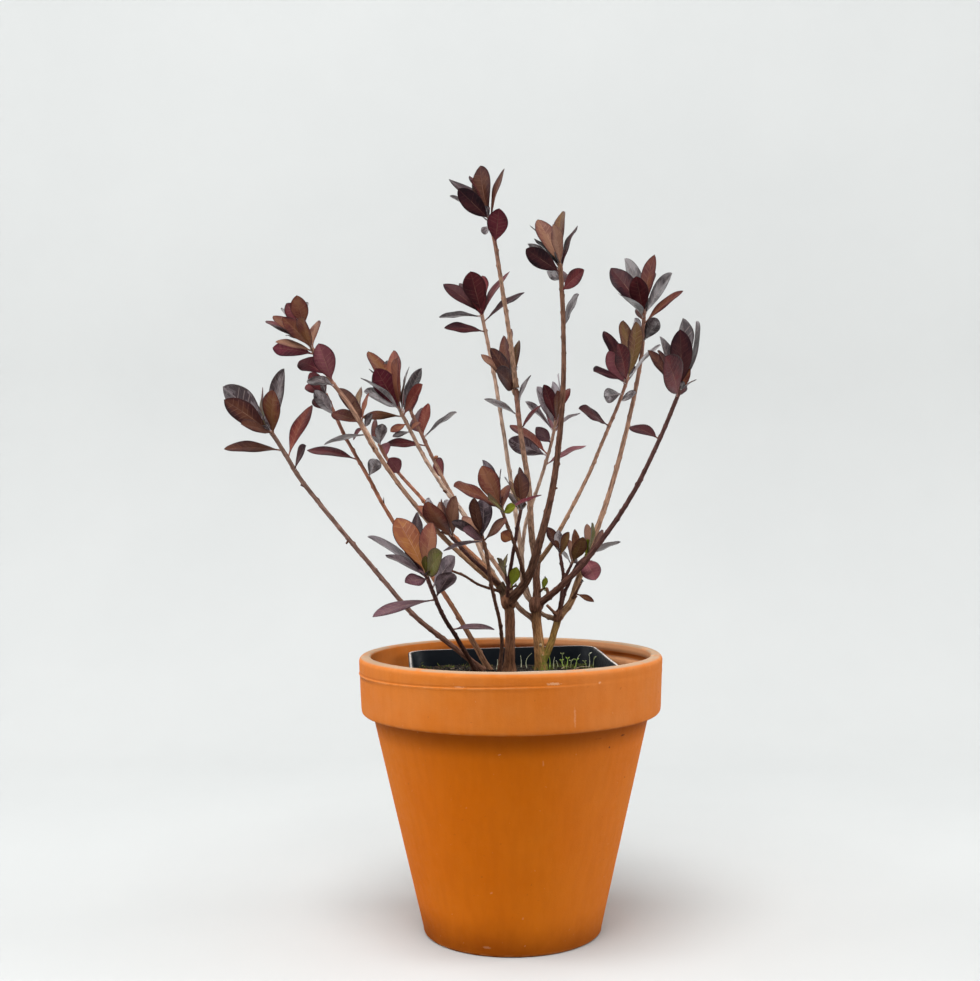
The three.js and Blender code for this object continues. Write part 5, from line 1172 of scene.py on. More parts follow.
def barkTube(limb, rng, old=0.0, rooted=True, scars=True):
    p, flared = bark, limb.get("flare")
    around, step = (p["trunkAround"], p["trunkStep"]) if old > 0.5 else (p["around"], p["step"])
    stations = stationsOf(limb, step)
    if flared:
        place, along, radius, s = stations[0]
        stations.insert(0, (place - along * p["bury"], along, radius * p["footGrowth"], s - p["bury"]))
    begin, finish = stations[0][3], stations[-1][3]
    marks = scarMarks(rng, begin, finish, scars)
    shift = spot(rng, 0, 50)
    points, spots = [], []
    for (place, _, radius, s), (a, b) in zip(stations, ringAxes([station[1] for station in stations])):
        drift = s * p["wanderScale"]
        wander = Vector((noiseOf(drift, 0, 0, shift), 0, noiseOf(0, drift, 0, shift)))
        centre = place + wander * p["wander"] * min(1.0, (s - begin) / 4, (finish - s) / 4 + 0.2)
        grown = radius * (1 + (p["collar"] * exp(-(s - begin) / p["collarFade"]) if rooted else 0))
        near = [mark for mark in marks if abs(mark[0] - s) < p["scarNear"]]
        for k in range(around):
            theta = 2 * pi * k / around
            c, d = cos(theta), sin(theta)
            ridge = wallNoise(c, d, s, p["ridgeScale"], shift)
            crack = -abs(wallNoise(c, d, s, p["crackScale"], -shift))
            fine = wallNoise(c, d, s, p["grainScale"], shift)
            relief = p["fissure"] * old * (ridge + crack * p["crack"] + p["lift"])
            relief += p["grain"] * (fine + ridge)
            if flared:
                relief += p["ridges"] * cos(3 * theta + shift.x) * exp(-max(0, s) / p["ridgeFade"])
            for mark in near:
                relief += scarHeight(s, theta, mark)
            points.append(onRing(centre, a, b, theta, grown + relief))
            spots.append((k / around, s / limb["curve"].length))
    faces, uv = loftFaces(len(stations), around), []
    for face in faces:
        wraps = len(face) == 4 and {0, around - 1} <= {i % around for i in face}
        for u, v in (spots[i] for i in face):
            uv.append((1.0 if wraps and u == 0 else u, v))
    return points, faces, uv


def display(r, g, b):
    return tuple((c / 255 / 12.92) if c < 11 else ((c / 255 + 0.055) / 1.055) ** 2.4 for c in (r, g, b))


mossGreen = (0.13, 0.14, 0.02)


def barkMaterial(name, foot, middle, top, contrast=0.62, girth=1.6, length=26.0, green=None):
    t = Finish(name, 0.7, 0.1)
    skin = t.use(
        barkSkin, Vector=t.add("UVMap", uv_map="grain").outputs["UV"], Girth=girth, Length=length,
        Contrast=contrast, Foot=display(*foot), Middle=display(*middle), Top=display(*top))
    colour = skin["Color"]
    if green:  # moss climbs the foot of a trunk on its right
        x, _, z = t.split(t.place)
        low, mossy = t.minus(1.0, t.ramp(z, 0.130, 0.148)), t.blotches(420.0, 4.0, 0.65, 0.40, 0.56)
        colour = t.mix(t.times(low, mossy, t.ramp(x, 0.0135, 0.0165)), colour, green)
    t.paint(colour)
    t.relief(t.plus(t.times(t.grain(2600.0, 0.5, 0.5, 0.85), 0.3), skin["Height"]), 0.5, 0.0004)
    return t.material


barks = dict(  # each bark at the foot, in the middle and at the top of a limb
    oldDark=((98, 66, 46), (114, 78, 58), (88, 70, 54), 0.55, 2.6, 9.0),
    oldTan=((136, 104, 58), (166, 122, 82), (98, 70, 50), 0.5, 2.6, 8.0, mossGreen),
    olive=((132, 118, 56), (148, 114, 64), (130, 104, 66), 0.5, 2.2, 7.0, mossGreen),
    knotted=((106, 82, 68), (112, 78, 62), (140, 104, 86), 0.55, 2.4, 7.0),
    brown=((86, 60, 47), (95, 66, 54), (106, 76, 61)),
    ash=((142, 102, 84), (122, 94, 86), (116, 90, 80), 0.55),
    greyTan=((130, 102, 84), (144, 114, 96), (126, 90, 77), 0.55),
    pale=((150, 124, 104), (170, 146, 130), (146, 116, 100), 0.55),
    tan=((138, 106, 78), (148, 116, 97), (134, 98, 84), 0.55),
    orange=((142, 106, 82), (148, 98, 74), (138, 94, 80), 0.55),
    darkRed=((90, 61, 50), (80, 53, 50), (86, 59, 55), 0.5),
    broken=((196, 176, 140), (180, 158, 124), (150, 128, 100), 0.3),
    pink=((140, 84, 60), (150, 84, 66), (156, 92, 72), 0.3),
)
barkMaterials = {kind: barkMaterial(kind + "Bark", *look) for kind, look in barks.items()}
limbsOf = dict(  # which limbs have which bark
    oldDark=["left_trunk"], oldTan=["centre_trunk"], olive=["right_limb"],
    knotted=["centre_bough", "cross_twig"], tan=["right_back", "right_middle", "left"],
    brown=["middle_right", "front_middle", "front_centre", "centre_sprig", "right_sprig", "bare_twig"],
    ash=["far_left"], greyTan=["tall_lower", "tall_top", "left_middle_back"],
    pale=["back_middle", "centre_back", "left_side", "left_middle"], orange=["left_back", "left_inner"],
    darkRed=["far_right", "front_left", "low_left", "front_right", "low_right", "low_right_back",
             "fork_sprig"],
)
barkOf = {limb: kind for kind, names in limbsOf.items() for limb in names}

# knots, broken stubs, buds and spikes: each form is its rings, as far out and as wide
woodForms = dict(
    knot=((-0.9, 0.45), (-0.6, 0.8), (-0.2, 1.0), (0.2, 0.98), (0.6, 0.74), (0.85, 0.4)),
    stub=((-0.3, 1.0), (0.2, 0.95), (0.6, 0.8), (0.9, 0.75), (1.0, 0.5)),
    bud=((-0.2, 0.6), (0.15, 0.95), (0.4, 1.0), (0.7, 0.68), (0.92, 0.28), (1.0, 0.08)),
    spike=((-0.2, 1.4), (0.2, 0.9), (0.6, 0.5), (0.9, 0.25), (1.0, 0.08)),
)
woodMarks = dict(  # by limb: form, bark, across, up, length, half width, the way it points
    left_trunk=[("knot", "oldDark", 0.6, 164.0, 5.4, 3.6, (-0.2, 0, 1)),
        ("knot", "oldDark", 3.2, 160.4, 2.0, 1.5, (0.9, -0.4, 0.5))],
    centre_trunk=[("knot", "knotted", 14.0, 163.0, 5.2, 3.9, (0.1, 0, 1)),
        ("knot", "knotted", 15.6, 159.6, 3.4, 2.6, (0.8, -0.2, 0.5)),
        ("knot", "broken", 15.2, 141.4, 0.7, 1.0, (0.3, -1, 0.1)),
        ("knot", "broken", 16.4, 136.6, 0.6, 0.7, (0.5, -1, 0.1)),
        ("stub", "knotted", 11.4, 155.4, 1.6, 0.9, (-1, -0.3, 0.4))],
    right_limb=[("knot", "knotted", 25.4, 156.0, 4.4, 2.6, (0.3, 0, 1))],
    centre_bough=[("stub", "knotted", 15.8, 177.0, 4.6, 0.75, (0.12, -0.1, 1))],
    far_right=[("stub", "knotted", 19.8, 165.4, 3.4, 0.95, (-0.25, -0.2, 1))],
    low_right=[("stub", "darkRed", 27.2, 173.4, 3.6, 0.7, (0.2, -0.2, 1))],
    right_back=[("stub", "knotted", 32.0, 163.6, 2.2, 0.7, (0.8, -0.3, 0.6))],
    left_back=[("spike", "darkRed", -61.6, 211.2, 3.6, 0.42, (0.05, -0.2, 1))],
    far_left=[("stub", "darkRed", -102.0, 219.4, 1.9, 0.7, (-1, -0.2, 0.35)),
        ("stub", "brown", -80.0, 193.6, 1.5, 0.6, (-0.6, -0.2, -0.8))],
    left_middle_back=[("bud", "orange", -49.4, 257.6, 3.4, 1.2, (-0.4, 0, 1)),
        ("bud", "orange", -37.8, 234.2, 2.2, 1.0, (0.8, -0.3, 0.5))],
    bare_twig=[("bud", "pink", -28.0, 178.2, 2.4, 0.8, (-1, -0.3, 0.4))],
    middle_right=[("stub", "brown", 21.4, 219.0, 1.3, 0.6, (0.9, -0.4, 0.3))],
    tall_lower=[("stub", "brown", 9.4, 222.0, 1.2, 0.6, (-0.9, -0.4, 0.3))],
    left_middle=[("stub", "brown", -30.4, 217.4, 1.8, 0.8, (-0.9, -0.3, 0.6))],
    left=[("stub", "brown", -66.0, 238.6, 1.5, 0.8, (-0.6, -0.5, 0.8))],
)
markRule = dict(around=12, rough=0.28, wholeLimb=3, outward=0.43, uvFoot=0.3, uvStep=0.05)


def woodMark(grown, form, across, up, length, width, way):
    p = markRule
    place = seen(nearest(grown["curve"], lambda at: (at[0] - across) ** 2 + (at[2] - up) ** 2))
    out = Vector(way).normalized()
    wholeLimb = form == "knot" and length > p["wholeLimb"]
    origin = place + out * (0 if wholeLimb else p["outward"] * sum(grown["r"]))
    side = out.cross(Vector((0.3, 0.9, 0.2))).normalized()
    other = out.cross(side)
    points, uv = [], []
    for far, wide in woodForms[form]:
        for k in range(p["around"]):
            turn = 2 * pi * k / p["around"]
            r = wide * width * (1 + p["rough"] * noiseOf(cos(turn), sin(turn), far * 1.5 + across))
            points.append(onRing(origin + out * (far * length), side, other, turn, r))
    around, faces = p["around"], loftFaces(len(woodForms[form]), p["around"])
    for face in faces:
        uv += [(i % around / around, p["uvFoot"] + p["uvStep"] * (i // around)) for i in face]
    return points, faces, uv


def makeWood():
    rng = random.Random(bark["seed"])
    grownLimbs = [(limb["name"], plant.limbs[limb["name"]], None) for limb in limbs + bareTwigs]
    grownLimbs += [(mass["shoot"]["name"], mass["stems"][0][0], mass) for mass in plant.masses]
    for name, grown, mass in grownLimbs:
        wood, used = PieceBuilder(), [barkOf[name]]

        def addWood(points, faces, uv, kind):
            wood.add(points, faces, used.index(kind), uv)

        trunk = mass is None and grown.get("sides", 4) > 4
        old = 1.0 if trunk else 0.25 if mass and mass["shoot"].get("leafy") else 0.0
        addWood(*barkTube(grown, rng, old, not grown.get("flare"), not trunk), used[0])
        for twig, _ in mass["stems"][1:] if mass else ():
            addWood(*barkTube(twig, rng), used[0])
        for form, kind, *mark in woodMarks.get(name, ()):
            used += [kind] if kind not in used else []
            addWood(*woodMark(grown, form, *mark), kind)
        replaced = [name] if mass is None else [name + "_bough"] if mass["bare"] else []
        keepPiece(wood.finish(name + "_bark", [barkMaterials[kind] for kind in used]), "bark", *replaced)


makeWood()
print("bark made")

# moss, seedlings and rootlets on the soil
soilGrowth = dict(
    moss=((16, 50, 8, 44, 300), (-48, -8, 30, 45, 110), (12, 22, -4, 12, 60)),
    mossSize=(0.35, 1.0), thinnest=-0.12, strands=420, strandTall=(0.8, 2.6), strandWide=0.14, reach=45.5,
    thickScale=0.16, thickShift=2.0, least=0.8, lifted=0.3, strandSpread=0.8, strandLean=0.5, seed=31,
)
sproutRule = dict(
    sunk=0.4, steps=8, slender=0.8, taper=0.68, droop=0.06, forward=0.3,
    leafTurn=0.6, leafRise=(0.35, 0.9), leafLength=(1.1, 1.7), leafWidth=0.30, leafFlat=0.4,
    hairs=12, hairRise=(0.2, 1), hairLength=(0.5, 0.9), hairWidth=0.09, hairy=(5, 9),
)
sprouts = [  # tint, across, depth, tall, leans to the right, bends, half width, leaves at the tip
    ("pale", -6.2, 22, 5.4, 0.5, 0.2, 0.34, 0),
    ("pale", 6.0, 20, 6.6, -0.2, 0.3, 0.34, 0),
    ("pale", 9.0, 24, 9.4, 2.6, -1.6, 0.31, 0),
    ("bright", 20.2, 10, 8.0, -0.4, 0.5, 0.44, 2),
    ("pale", 22.6, 14, 6.4, 0.3, -0.5, 0.36, 0),
    ("pale", 24.4, 18, 5.0, -0.9, 0.4, 0.29, 0),
    ("fuzzy", 26.2, 24, 7.6, 0.4, 0.4, 0.39, 3),
    ("bright", 27.6, 12, 4.8, -1.6, 0.2, 0.44, 3),
    ("bright", 28.4, 12, 5.4, 0.9, 0.3, 0.44, 3),
    ("fuzzy", 30.6, 20, 4.2, 0.5, 0.1, 0.36, 2),
    ("pale", 33.4, 22, 9.0, 2.2, -0.7, 0.34, 0),
    ("bright", 32.6, 16, 5.0, 1.2, 0.3, 0.42, 2),
    ("pale", 39.8, 22, 7.8, 0.2, 0.5, 0.39, 1),
    ("fuzzy", 38.6, 20, 4.6, -0.8, 0.4, 0.39, 2),
    ("fuzzy", 42.2, 24, 5.2, 0.6, -0.3, 0.34, 1),
    ("pale", 51.0, 10, 4.6, 0.3, 0.2, 0.26, 0),
]
rootlets = [  # from across, depth, to across, depth, and how high it arches
    (32.0, 8, 44.0, 6, 1.7), (26.0, 6, 31.0, 12, 1.2), (46.0, 14, 50.5, 6, 1.4),
    (-30.0, 20, -22.0, 26, 1.0),
]
rootletRule = dict(steps=12, swing=0.5, swings=7, width=0.2, taper=0.09, above=0.1, rise=0.15)


def threadForm(places, radii, around=6):
    last = len(places) - 1
    ways = [(places[min(i + 1, last)] - places[max(i - 1, 0)]).normalized() for i in range(last + 1)]
    points = []
    for place, radius, (a, b) in zip(places, radii, ringAxes(ways)):
        points += [onRing(place, a, b, 2 * pi * k / around, radius) for k in range(around)]
    return points, loftFaces(len(places), around)


def onSoil(across, depth):
    place = seen((across, depth, ground))
    return Vector((place.x, place.y, soilHeight(place.x, place.y)))


# a strand or a small leaf: a thin closed spindle, flattened by the last value
def spindle(foot, tip, wide, flat=1.0):
    way = tip - foot
    side = way.cross(Vector((0.2, 1, 0.1))).normalized() * wide
    front = way.cross(side).normalized() * wide * flat
    points = [foot, tip]
    for share, size in ((0.35, 1.0), (0.7, 0.7)):
        centre = foot + way * share
        points += [centre + out * size for out in (side, front, -side, -front)]
    faces = []
    for k in range(4):
        n = (k + 1) % 4
        faces += [(0, 2 + n, 2 + k), (2 + k, 2 + n, 6 + n, 6 + k), (6 + k, 6 + n, 1)]
    return points, faces


def makeSprouts():
    p, rng, growth = sproutRule, random.Random(soilGrowth["seed"]), PieceBuilder()
    for tint, across, depth, tall, leans, bends, wide, count in sprouts:
        slot = ("pale", "bright", "fuzzy").index(tint)
        foot = onSoil(across, depth) - Vector((0, 0, p["sunk"]))
        places, radii = [], []
        for i in range(p["steps"] + 1):
            t = i / p["steps"]
            aside = leans * t + bends * sin(pi * t)
            up = (tall + p["sunk"]) * t * (1 - p["droop"] * abs(leans) * t)
            places.append(foot + Vector((aside, -p["forward"] * aside * t, up)))
            radii.append(wide * p["slender"] * (1 - p["taper"] * t))
        growth.add(*threadForm(places, radii), slot)
        tip = places[-1]
        for i in range(count):
            turn = fullTurn * i / count + rng.uniform(0, p["leafTurn"])
            way = Vector((cos(turn), sin(turn), rng.uniform(*p["leafRise"])))
            end = tip + way * rng.uniform(*p["leafLength"])
            growth.add(*spindle(tip, end, p["leafWidth"], p["leafFlat"]), slot)
        for _ in range(p["hairs"] if tint == "fuzzy" else 0):
            way = Vector((rng.uniform(-1, 1), rng.uniform(-1, 1), rng.uniform(*p["hairRise"])))
            at = places[rng.randrange(*p["hairy"])]
            growth.add(*spindle(at, at + way * rng.uniform(*p["hairLength"]), p["hairWidth"]), slot)
    finishes = soilMaterials("paleSprout", "brightSprout", "fuzzySprout")
    keepPiece(growth.finish("soilSprouts", finishes), "leaf")


def makeMoss():
    p, rng = soilGrowth, random.Random(soilGrowth["seed"] + 1)
    moss, spots = PieceBuilder(), []
    for left, right, front, back, count in p["moss"]:
        for _ in range(count):
            x, y = rng.uniform(left, right), rng.uniform(front, back)
            place = plasticPlace.inverted() @ Vector((x, y, soilTop))
            thick = noiseOf(x * p["thickScale"], y * p["thickScale"], p["thickShift"])
            if max(abs(place.x), abs(place.y)) < p["reach"] and thick > p["thinnest"]:
                spots.append((Vector((x, y, soilHeight(x, y))), thick))
    for place, thick in sorted(spots, key=lambda item: item[1]):
        size = rng.uniform(*p["mossSize"]) * (p["least"] + thick)
        centre = place + Vector((0, 0, size * p["lifted"]))
        moss.add(lump(rng, centre, size), lumpFaces, rng.choice((0, 0, 1, 2)))
    for _ in range(p["strands"]):
        place = spots[rng.randrange(len(spots))][0]
        spread, bend = p["strandSpread"], p["strandLean"]
        foot = place + Vector((rng.uniform(-spread, spread), rng.uniform(-spread, spread), 0))
        tall = rng.uniform(*p["strandTall"])
        tip = foot + Vector((rng.uniform(-bend, bend), rng.uniform(-bend, bend), 1)) * tall
        moss.add(*spindle(foot, tip, p["strandWide"]), rng.choice((0, 1, 1, 2)))
    keepPiece(moss.finish("soilMoss", soilMaterials("mossDeep", "mossBright", "mossBrown")), "leaf")


def makeRootlets():
    p, roots = rootletRule, PieceBuilder()
    shares = [i / p["steps"] for i in range(p["steps"] + 1)]
    for across, depth, otherAcross, otherDepth, arch in rootlets:
        start, end = onSoil(across, depth), onSoil(otherAcross, otherDepth)
        places = []
        for t in shares:
            swing = p["swing"] * sin(p["swings"] * t + across)
            up = p["above"] + arch * sin(pi * t) + p["rise"] * swing
            places.append(start + (end - start) * t + Vector((0, swing, up)))
        roots.add(*threadForm(places, [p["width"] - p["taper"] * t for t in shares]))
    keepPiece(roots.finish("soilRootlets", soilMaterials("rootlet")), "bark")


makeSprouts()
makeMoss()
makeRootlets()
print("moss and seedlings made")

# leaves: closed blades with a rib, side veins, a fold and a thin dark margin
blade = dict(
    fullness=(0.84, 1.04),
    columns=(-1, -0.945, -0.81, -0.61, -0.4, -0.18, -0.024, 0.024, 0.18, 0.4, 0.61, 0.81, 0.945, 1),
    stalkRows=(0.0, 0.03, 0.07, 0.11, 0.15), plainRows=(0.22, 0.35, 0.5, 0.65, 0.78),
    tipRows=(0.905, 0.945, 0.975, 0.992), stalkEnd=0.1, ribTip=0.6, veinsShown=0.8,
    veins=7, veinWidth=0.010, veinRise=0.5, veinBend=0.9, veinFade=(0.1, 0.3), firstVein=0.2, veinSpan=0.7,
    veinPlace=0.15, veinShift=0.02, fullest=1.42, roundness=0.61, opens=(0.07, 0.24),
    thick=0.26, edgePower=2.2, keel=0.3, keelWide=0.075, keelFade=0.75,
    groove=0.06, grooveWide=0.06, soft=0.12, margin=0.05, overTip=1.01, seed=21,
    petiole=0.42, stalkFoot=0.5, stalkFootEnd=0.06, stalkThin=0.75, stalkThinFrom=0.8,
    wave=0.07, waveTurns=(1.2, 2.4), otherHalf=1.9,
    curl=0.5, curlFrom=0.62, curlDepth=0.1, twist=9, twistFrom=0.2,
)
bladeSpread = dict(
    wave=(0.3, 1.2), curl=(0.2, 1.1), roundness=(0.9, 1.12), veinRise=(0.85, 1.2), lean=(-0.15, 0.15)
)
tintRule = dict(
    # one of these values is painted shade: one half of each leaf a step lighter, the other a step darker,
    # as if from its fold
    steps=6, start=0.07, fromRib=0.58, ribPower=1.6, towardsTip=0.34, tipFrom=0.35, foldShade=0.11,
    cloud=0.5, cloudScale=(1.2, 3.0), speckle=0.24, speckleScale=(4.5, 12.0), speckleShift=7, seedScale=0.7,
    # the undersides' pale blotches are partly their own grey and partly a painted sheen
    under=dict(start=0.46, cloud=1.0, speckle=0.45, lean=1.8, aside=0.16),
)
tones = dict(  # the tint beside the rib, the tint between, the tint at the margin, how far the veins show
    tan=((0.230, 0.115, 0.072), (0.162, 0.066, 0.047), (0.080, 0.023, 0.021), 0.32),
    olive=((0.155, 0.085, 0.029), (0.120, 0.048, 0.026), (0.058, 0.018, 0.015), 0.28),
    maroon=((0.108, 0.017, 0.020), (0.066, 0.011, 0.015), (0.028, 0.006, 0.009), 0.12),
    green=((0.088, 0.084, 0.012), (0.068, 0.048, 0.013), (0.040, 0.017, 0.009), 0.24),
    dark=((0.126, 0.044, 0.023), (0.090, 0.023, 0.020), (0.034, 0.009, 0.011), 0.19),
    umber=((0.080, 0.028, 0.016), (0.043, 0.012, 0.011), (0.018, 0.005, 0.006), 0.13),
    plum=((0.135, 0.024, 0.034), (0.094, 0.014, 0.024), (0.046, 0.007, 0.014), 0.20),
    bronze=((0.172, 0.070, 0.029), (0.122, 0.034, 0.023), (0.050, 0.012, 0.011), 0.24),
    rust=((0.285, 0.115, 0.064), (0.208, 0.062, 0.045), (0.092, 0.021, 0.022), 0.30),
    crimson=((0.200, 0.056, 0.038), (0.140, 0.028, 0.024), (0.064, 0.012, 0.014), 0.24),
    orange=((0.280, 0.106, 0.034), (0.200, 0.058, 0.028), (0.095, 0.022, 0.018), 0.30),
    leafGreen=((0.27, 0.32, 0.030), (0.22, 0.24, 0.020), (0.14, 0.13, 0.014), 0.14),
    violet=((0.240, 0.077, 0.090), (0.192, 0.056, 0.068), (0.110, 0.028, 0.041), 0.26),
    mauve=((0.150, 0.078, 0.092), (0.105, 0.044, 0.058), (0.050, 0.018, 0.027), 0.28),
    dusk=((0.050, 0.012, 0.014), (0.023, 0.005, 0.009), (0.010, 0.003, 0.006), 0.05),
)
# undersides: their own grey-violet, with pale tints that stand partly for a painted sheen
underTones = dict(  # the same for the undersides
    grey=((0.42, 0.38, 0.39), (0.185, 0.148, 0.158), (0.042, 0.023, 0.027), 0.34),
    darkGrey=((0.27, 0.245, 0.25), (0.115, 0.092, 0.098), (0.031, 0.017, 0.020), 0.32),
    plumGrey=((0.22, 0.165, 0.185), (0.095, 0.060, 0.074), (0.030, 0.014, 0.019), 0.26),
    paleGrey=((0.44, 0.38, 0.41), (0.24, 0.18, 0.205), (0.060, 0.026, 0.034), 0.30),
)
underOf = dict(
    front_left="plumGrey", front_centre="plumGrey", front_middle="plumGrey", centre_back="paleGrey",
    right_back="darkGrey", far_right="darkGrey", middle_right="darkGrey", low_right_back="darkGrey",
)
leafEdge, leafRib, underRib = (0.022, 0.007, 0.006), (0.40, 0.22, 0.15), (0.46, 0.34, 0.30)
dull, flatVein = (0.45, 0.6), 0.1


def leafMaterial(name, colour, rough, specular, bump):
    t = Finish(name, rough[0], specular)
    t.paint(colour)
    veins = t.use(leafVeins, Vector=t.add("UVMap", uv_map="grain").outputs["UV"], Count=18.0, Slope=0.5)
    t.relief(t.plus(veins["Height"], t.times(t.grain(1300.0, 0.3, *rough), 0.25)), bump, 0.00022)
    return t.material


def mixTint(a, b, share):
    return tuple(x + (y - x) * share for x, y in zip(a, b))


def leafSet(name, inner, between, outer, veinShow, rib, rough, specular, bump):
    def finish(part, tint, share, rough, bump):
        return leafMaterial(name + part, mixTint(tint, rib, share), rough, specular, bump)

    made = dict(
        rib=finish("Rib", inner, 0.22 + veinShow, dull, flatVein),
        ribTip=finish("RibTip", between, 0.10 + 0.6 * veinShow, dull, flatVein),
    )
    for i in range(tintRule["steps"]):
        share = 2 * i / (tintRule["steps"] - 1)
        tint = mixTint(inner, between, share) if share < 1 else mixTint(between, outer, share - 1)
        made[i] = finish(str(i), tint, 0, rough, bump)
        if i % 2 == 0:
            made["vein", i] = finish("Vein" + str(i), tint, veinShow, rough, flatVein)
    return made


leafSets = {tone: leafSet(tone, *look, leafRib, (0.34, 0.5), 0.1, 0.5) for tone, look in tones.items()}
underSets = {
    tone: leafSet(tone, *look, underRib, (0.28, 0.46), 0.5, 0.9) for tone, look in underTones.items()
}
marginMaterial = leafMaterial("leafMargin", leafEdge, dull, 0.2, flatVein)


# rows across a blade: how far along, and the number of the side vein that lies there
def bladeRows(veins, shift):
    p, rows = blade, [(t, 0) for t in blade["stalkRows"]]
    spacing = p["veinSpan"] / max(1, veins)
    for i in range(veins):
        at = p["firstVein"] + spacing * (i + p["veinPlace"]) + shift
        rows += [(at - p["veinWidth"] / 2, i + 1), (at + p["veinWidth"] / 2, 0), (at + spacing / 2, 0)]
    return rows + [(t, 0) for t in (*(() if veins else p["plainRows"]), *p["tipRows"])]


# which of the tints a face takes: warm beside the rib and near the stalk, dark at the margin and the tip,
# with one half of the blade painted a step lighter and the other a step darker as shade from its fold
def tintStep(a, t, leaf, upper):
    p, under, seed = tintRule, tintRule["under"], leaf["start"] * tintRule["seedScale"]
    cloud = noiseOf(a * p["cloudScale"][0], t * p["cloudScale"][1], 0, seed)
    speckle = noiseOf(a * p["speckleScale"][0], t * p["speckleScale"][1], p["speckleShift"], seed)
    if upper:
        place = p["start"] + p["fromRib"] * abs(a) ** p["ribPower"] + p["towardsTip"] * (t - p["tipFrom"])
        place += p["cloud"] * cloud + p["speckle"] * speckle + leaf["lean"]
        # painted shade from the leaf's fold: one half lighter, the other darker
        place += leaf["foldShade"] * (1 if a > 0 else -1)
    else:
        # pale blotches on the undersides: partly their own grey, partly a painted sheen
        place = under["start"] + under["cloud"] * cloud + under["speckle"] * speckle
        place += under["lean"] * leaf["lean"] + under["aside"] * abs(a)
    return min(p["steps"] - 1, max(0, int(place * p["steps"])))


# the finish of one face of a blade, and whether it is on the upper side
def bladeZone(leaf, k, row, shown):
    columns, (t, vein) = blade["columns"], row
    last = len(columns) - 2
    upper = k <= last
    column = k if upper else 2 * last + 1 - k
    if t < blade["stalkEnd"] or column == last // 2:
        return "rib" if t < blade["ribTip"] else "ribTip", upper
    if column in (0, last):
        return "margin", upper
    step = tintStep((columns[column] + columns[column + 1]) / 2, t, leaf, upper)
    if vein and shown[vein][int(column > last / 2)] and 1 < column < last - 1:
        return ("vein", min(4, step - step % 2)), upper
    return step, upper


def bladeMesh(leaf, rng):
    p, spread, veins = blade, bladeSpread, 0 if leaf.get("young") else blade["veins"]
    columns, rows = p["columns"], bladeRows(veins, rng.uniform(-p["veinShift"], p["veinShift"]))
    m = len(columns)
    loop = [(a, 1) for a in columns] + [(a, -1) for a in columns[m - 2:0:-1]]
    around = len(loop)
    wavePhase, waveTurns = rng.uniform(0, fullTurn), rng.uniform(*p["waveTurns"])
    wave, twist = p["wave"] * rng.uniform(*spread["wave"]), radians(rng.uniform(-1, 1) * p["twist"])
    curl = p["curl"] * rng.uniform(*spread["curl"])
    roundness = p["roundness"] * rng.uniform(*spread["roundness"])
    fullest = p["fullest"] * rng.uniform(*p["fullness"])
    veinRise = p["veinRise"] * rng.uniform(*spread["veinRise"])
    leaf["lean"] = rng.uniform(*spread["lean"])
    # how strong the painted fold shade between the leaf's two halves is
    leaf["foldShade"] = rng.uniform(-1, 1) * tintRule["foldShade"]
    length, along = leaf["length"], leaf["along"]
    points, spots = [], []
    for rowT, _ in rows:
        for a, face in loop:
            bend = abs(a) ** p["veinBend"] * smoothStep(*p["veinFade"], rowT)
            t = rowT + veinRise * rowT * (1 - rowT) * bend
            half = leaf["width"] / 2 * outlineShare(t, roundness, fullest)
            grown = smoothStep(*p["opens"], t)
            swollen = 1 + p["stalkFoot"] * (1 - smoothStep(0, p["stalkFootEnd"], t))
            stalk = p["petiole"] * swollen * (1 - p["stalkThin"] * smoothStep(p["stalkThinFrom"], 1, t))
            turn = twist * (t - p["twistFrom"])
            c, s = cos(turn), sin(turn)
            side, up = leaf["side"] * c + leaf["up"] * s, leaf["up"] * c - leaf["side"] * s
            drop = curl * p["curlDepth"] * length * max(0, t - p["curlFrom"]) ** 2
            softFold = sqrt(a * a + p["soft"] ** 2) - p["soft"]
            rise = leafRule["bow"] * length * sin(pi * t) - drop
            rise += leafRule["fold"] * half * softFold - p["margin"] * half * abs(a) ** 5
            phase = wavePhase + (p["otherHalf"] if a > 0 else 0)
            rise += wave * half * sin(waveTurns * fullTurn * t + phase) * a * a
            domed = (1 - grown) * stalk * sqrt(max(0.0, 1 - a * a))
            if face > 0:
                rise += domed - p["groove"] * exp(-((a / p["grooveWide"]) ** 2)) * grown
            else:
                keel = p["keel"] * (1 - p["keelFade"] * t) * exp(-((a / p["keelWide"]) ** 2))
                rise -= domed + (p["thick"] * (1 - abs(a) ** p["edgePower"]) + keel) * grown
            points.append(leaf["start"] + along * (length * t) + up * rise + side * (max(half, stalk) * a))
            spots.append((a * 0.5 + 0.5, t))
    tip, base = len(points), len(points) + 1
    drop = curl * p["curlDepth"] * length * (1 - p["curlFrom"]) ** 2
    points += [leaf["start"] + along * (length * p["overTip"]) - leaf["up"] * drop, leaf["start"]]
    spots += [(0.5, 1.0), (0.5, 0.0)]
    shown = [[rng.random() < p["veinsShown"] for _ in range(2)] for _ in range(veins + 1)]
    faces = loftFaces(len(rows), around)[:-2]
    zones = [bladeZone(leaf, k, row, shown) for row in rows[:-1] for k in range(around)]
    last = (len(rows) - 1) * around
    for k in range(around):
        n = (k + 1) % around
        faces += [(last + k, last + n, tip), (n, k, base)]
        zones += [("margin", k <= m - 2), ("rib", True)]
    return points, faces, zones, [spots[i] for face in faces for i in face]


# small young leaves stand at each tip
tipRule = dict(
    young=3, length=(0.2, 0.38), width=0.42, spread=(14, 34), turn=2.4, sunk=(0.2, 0.8), near=0.97)


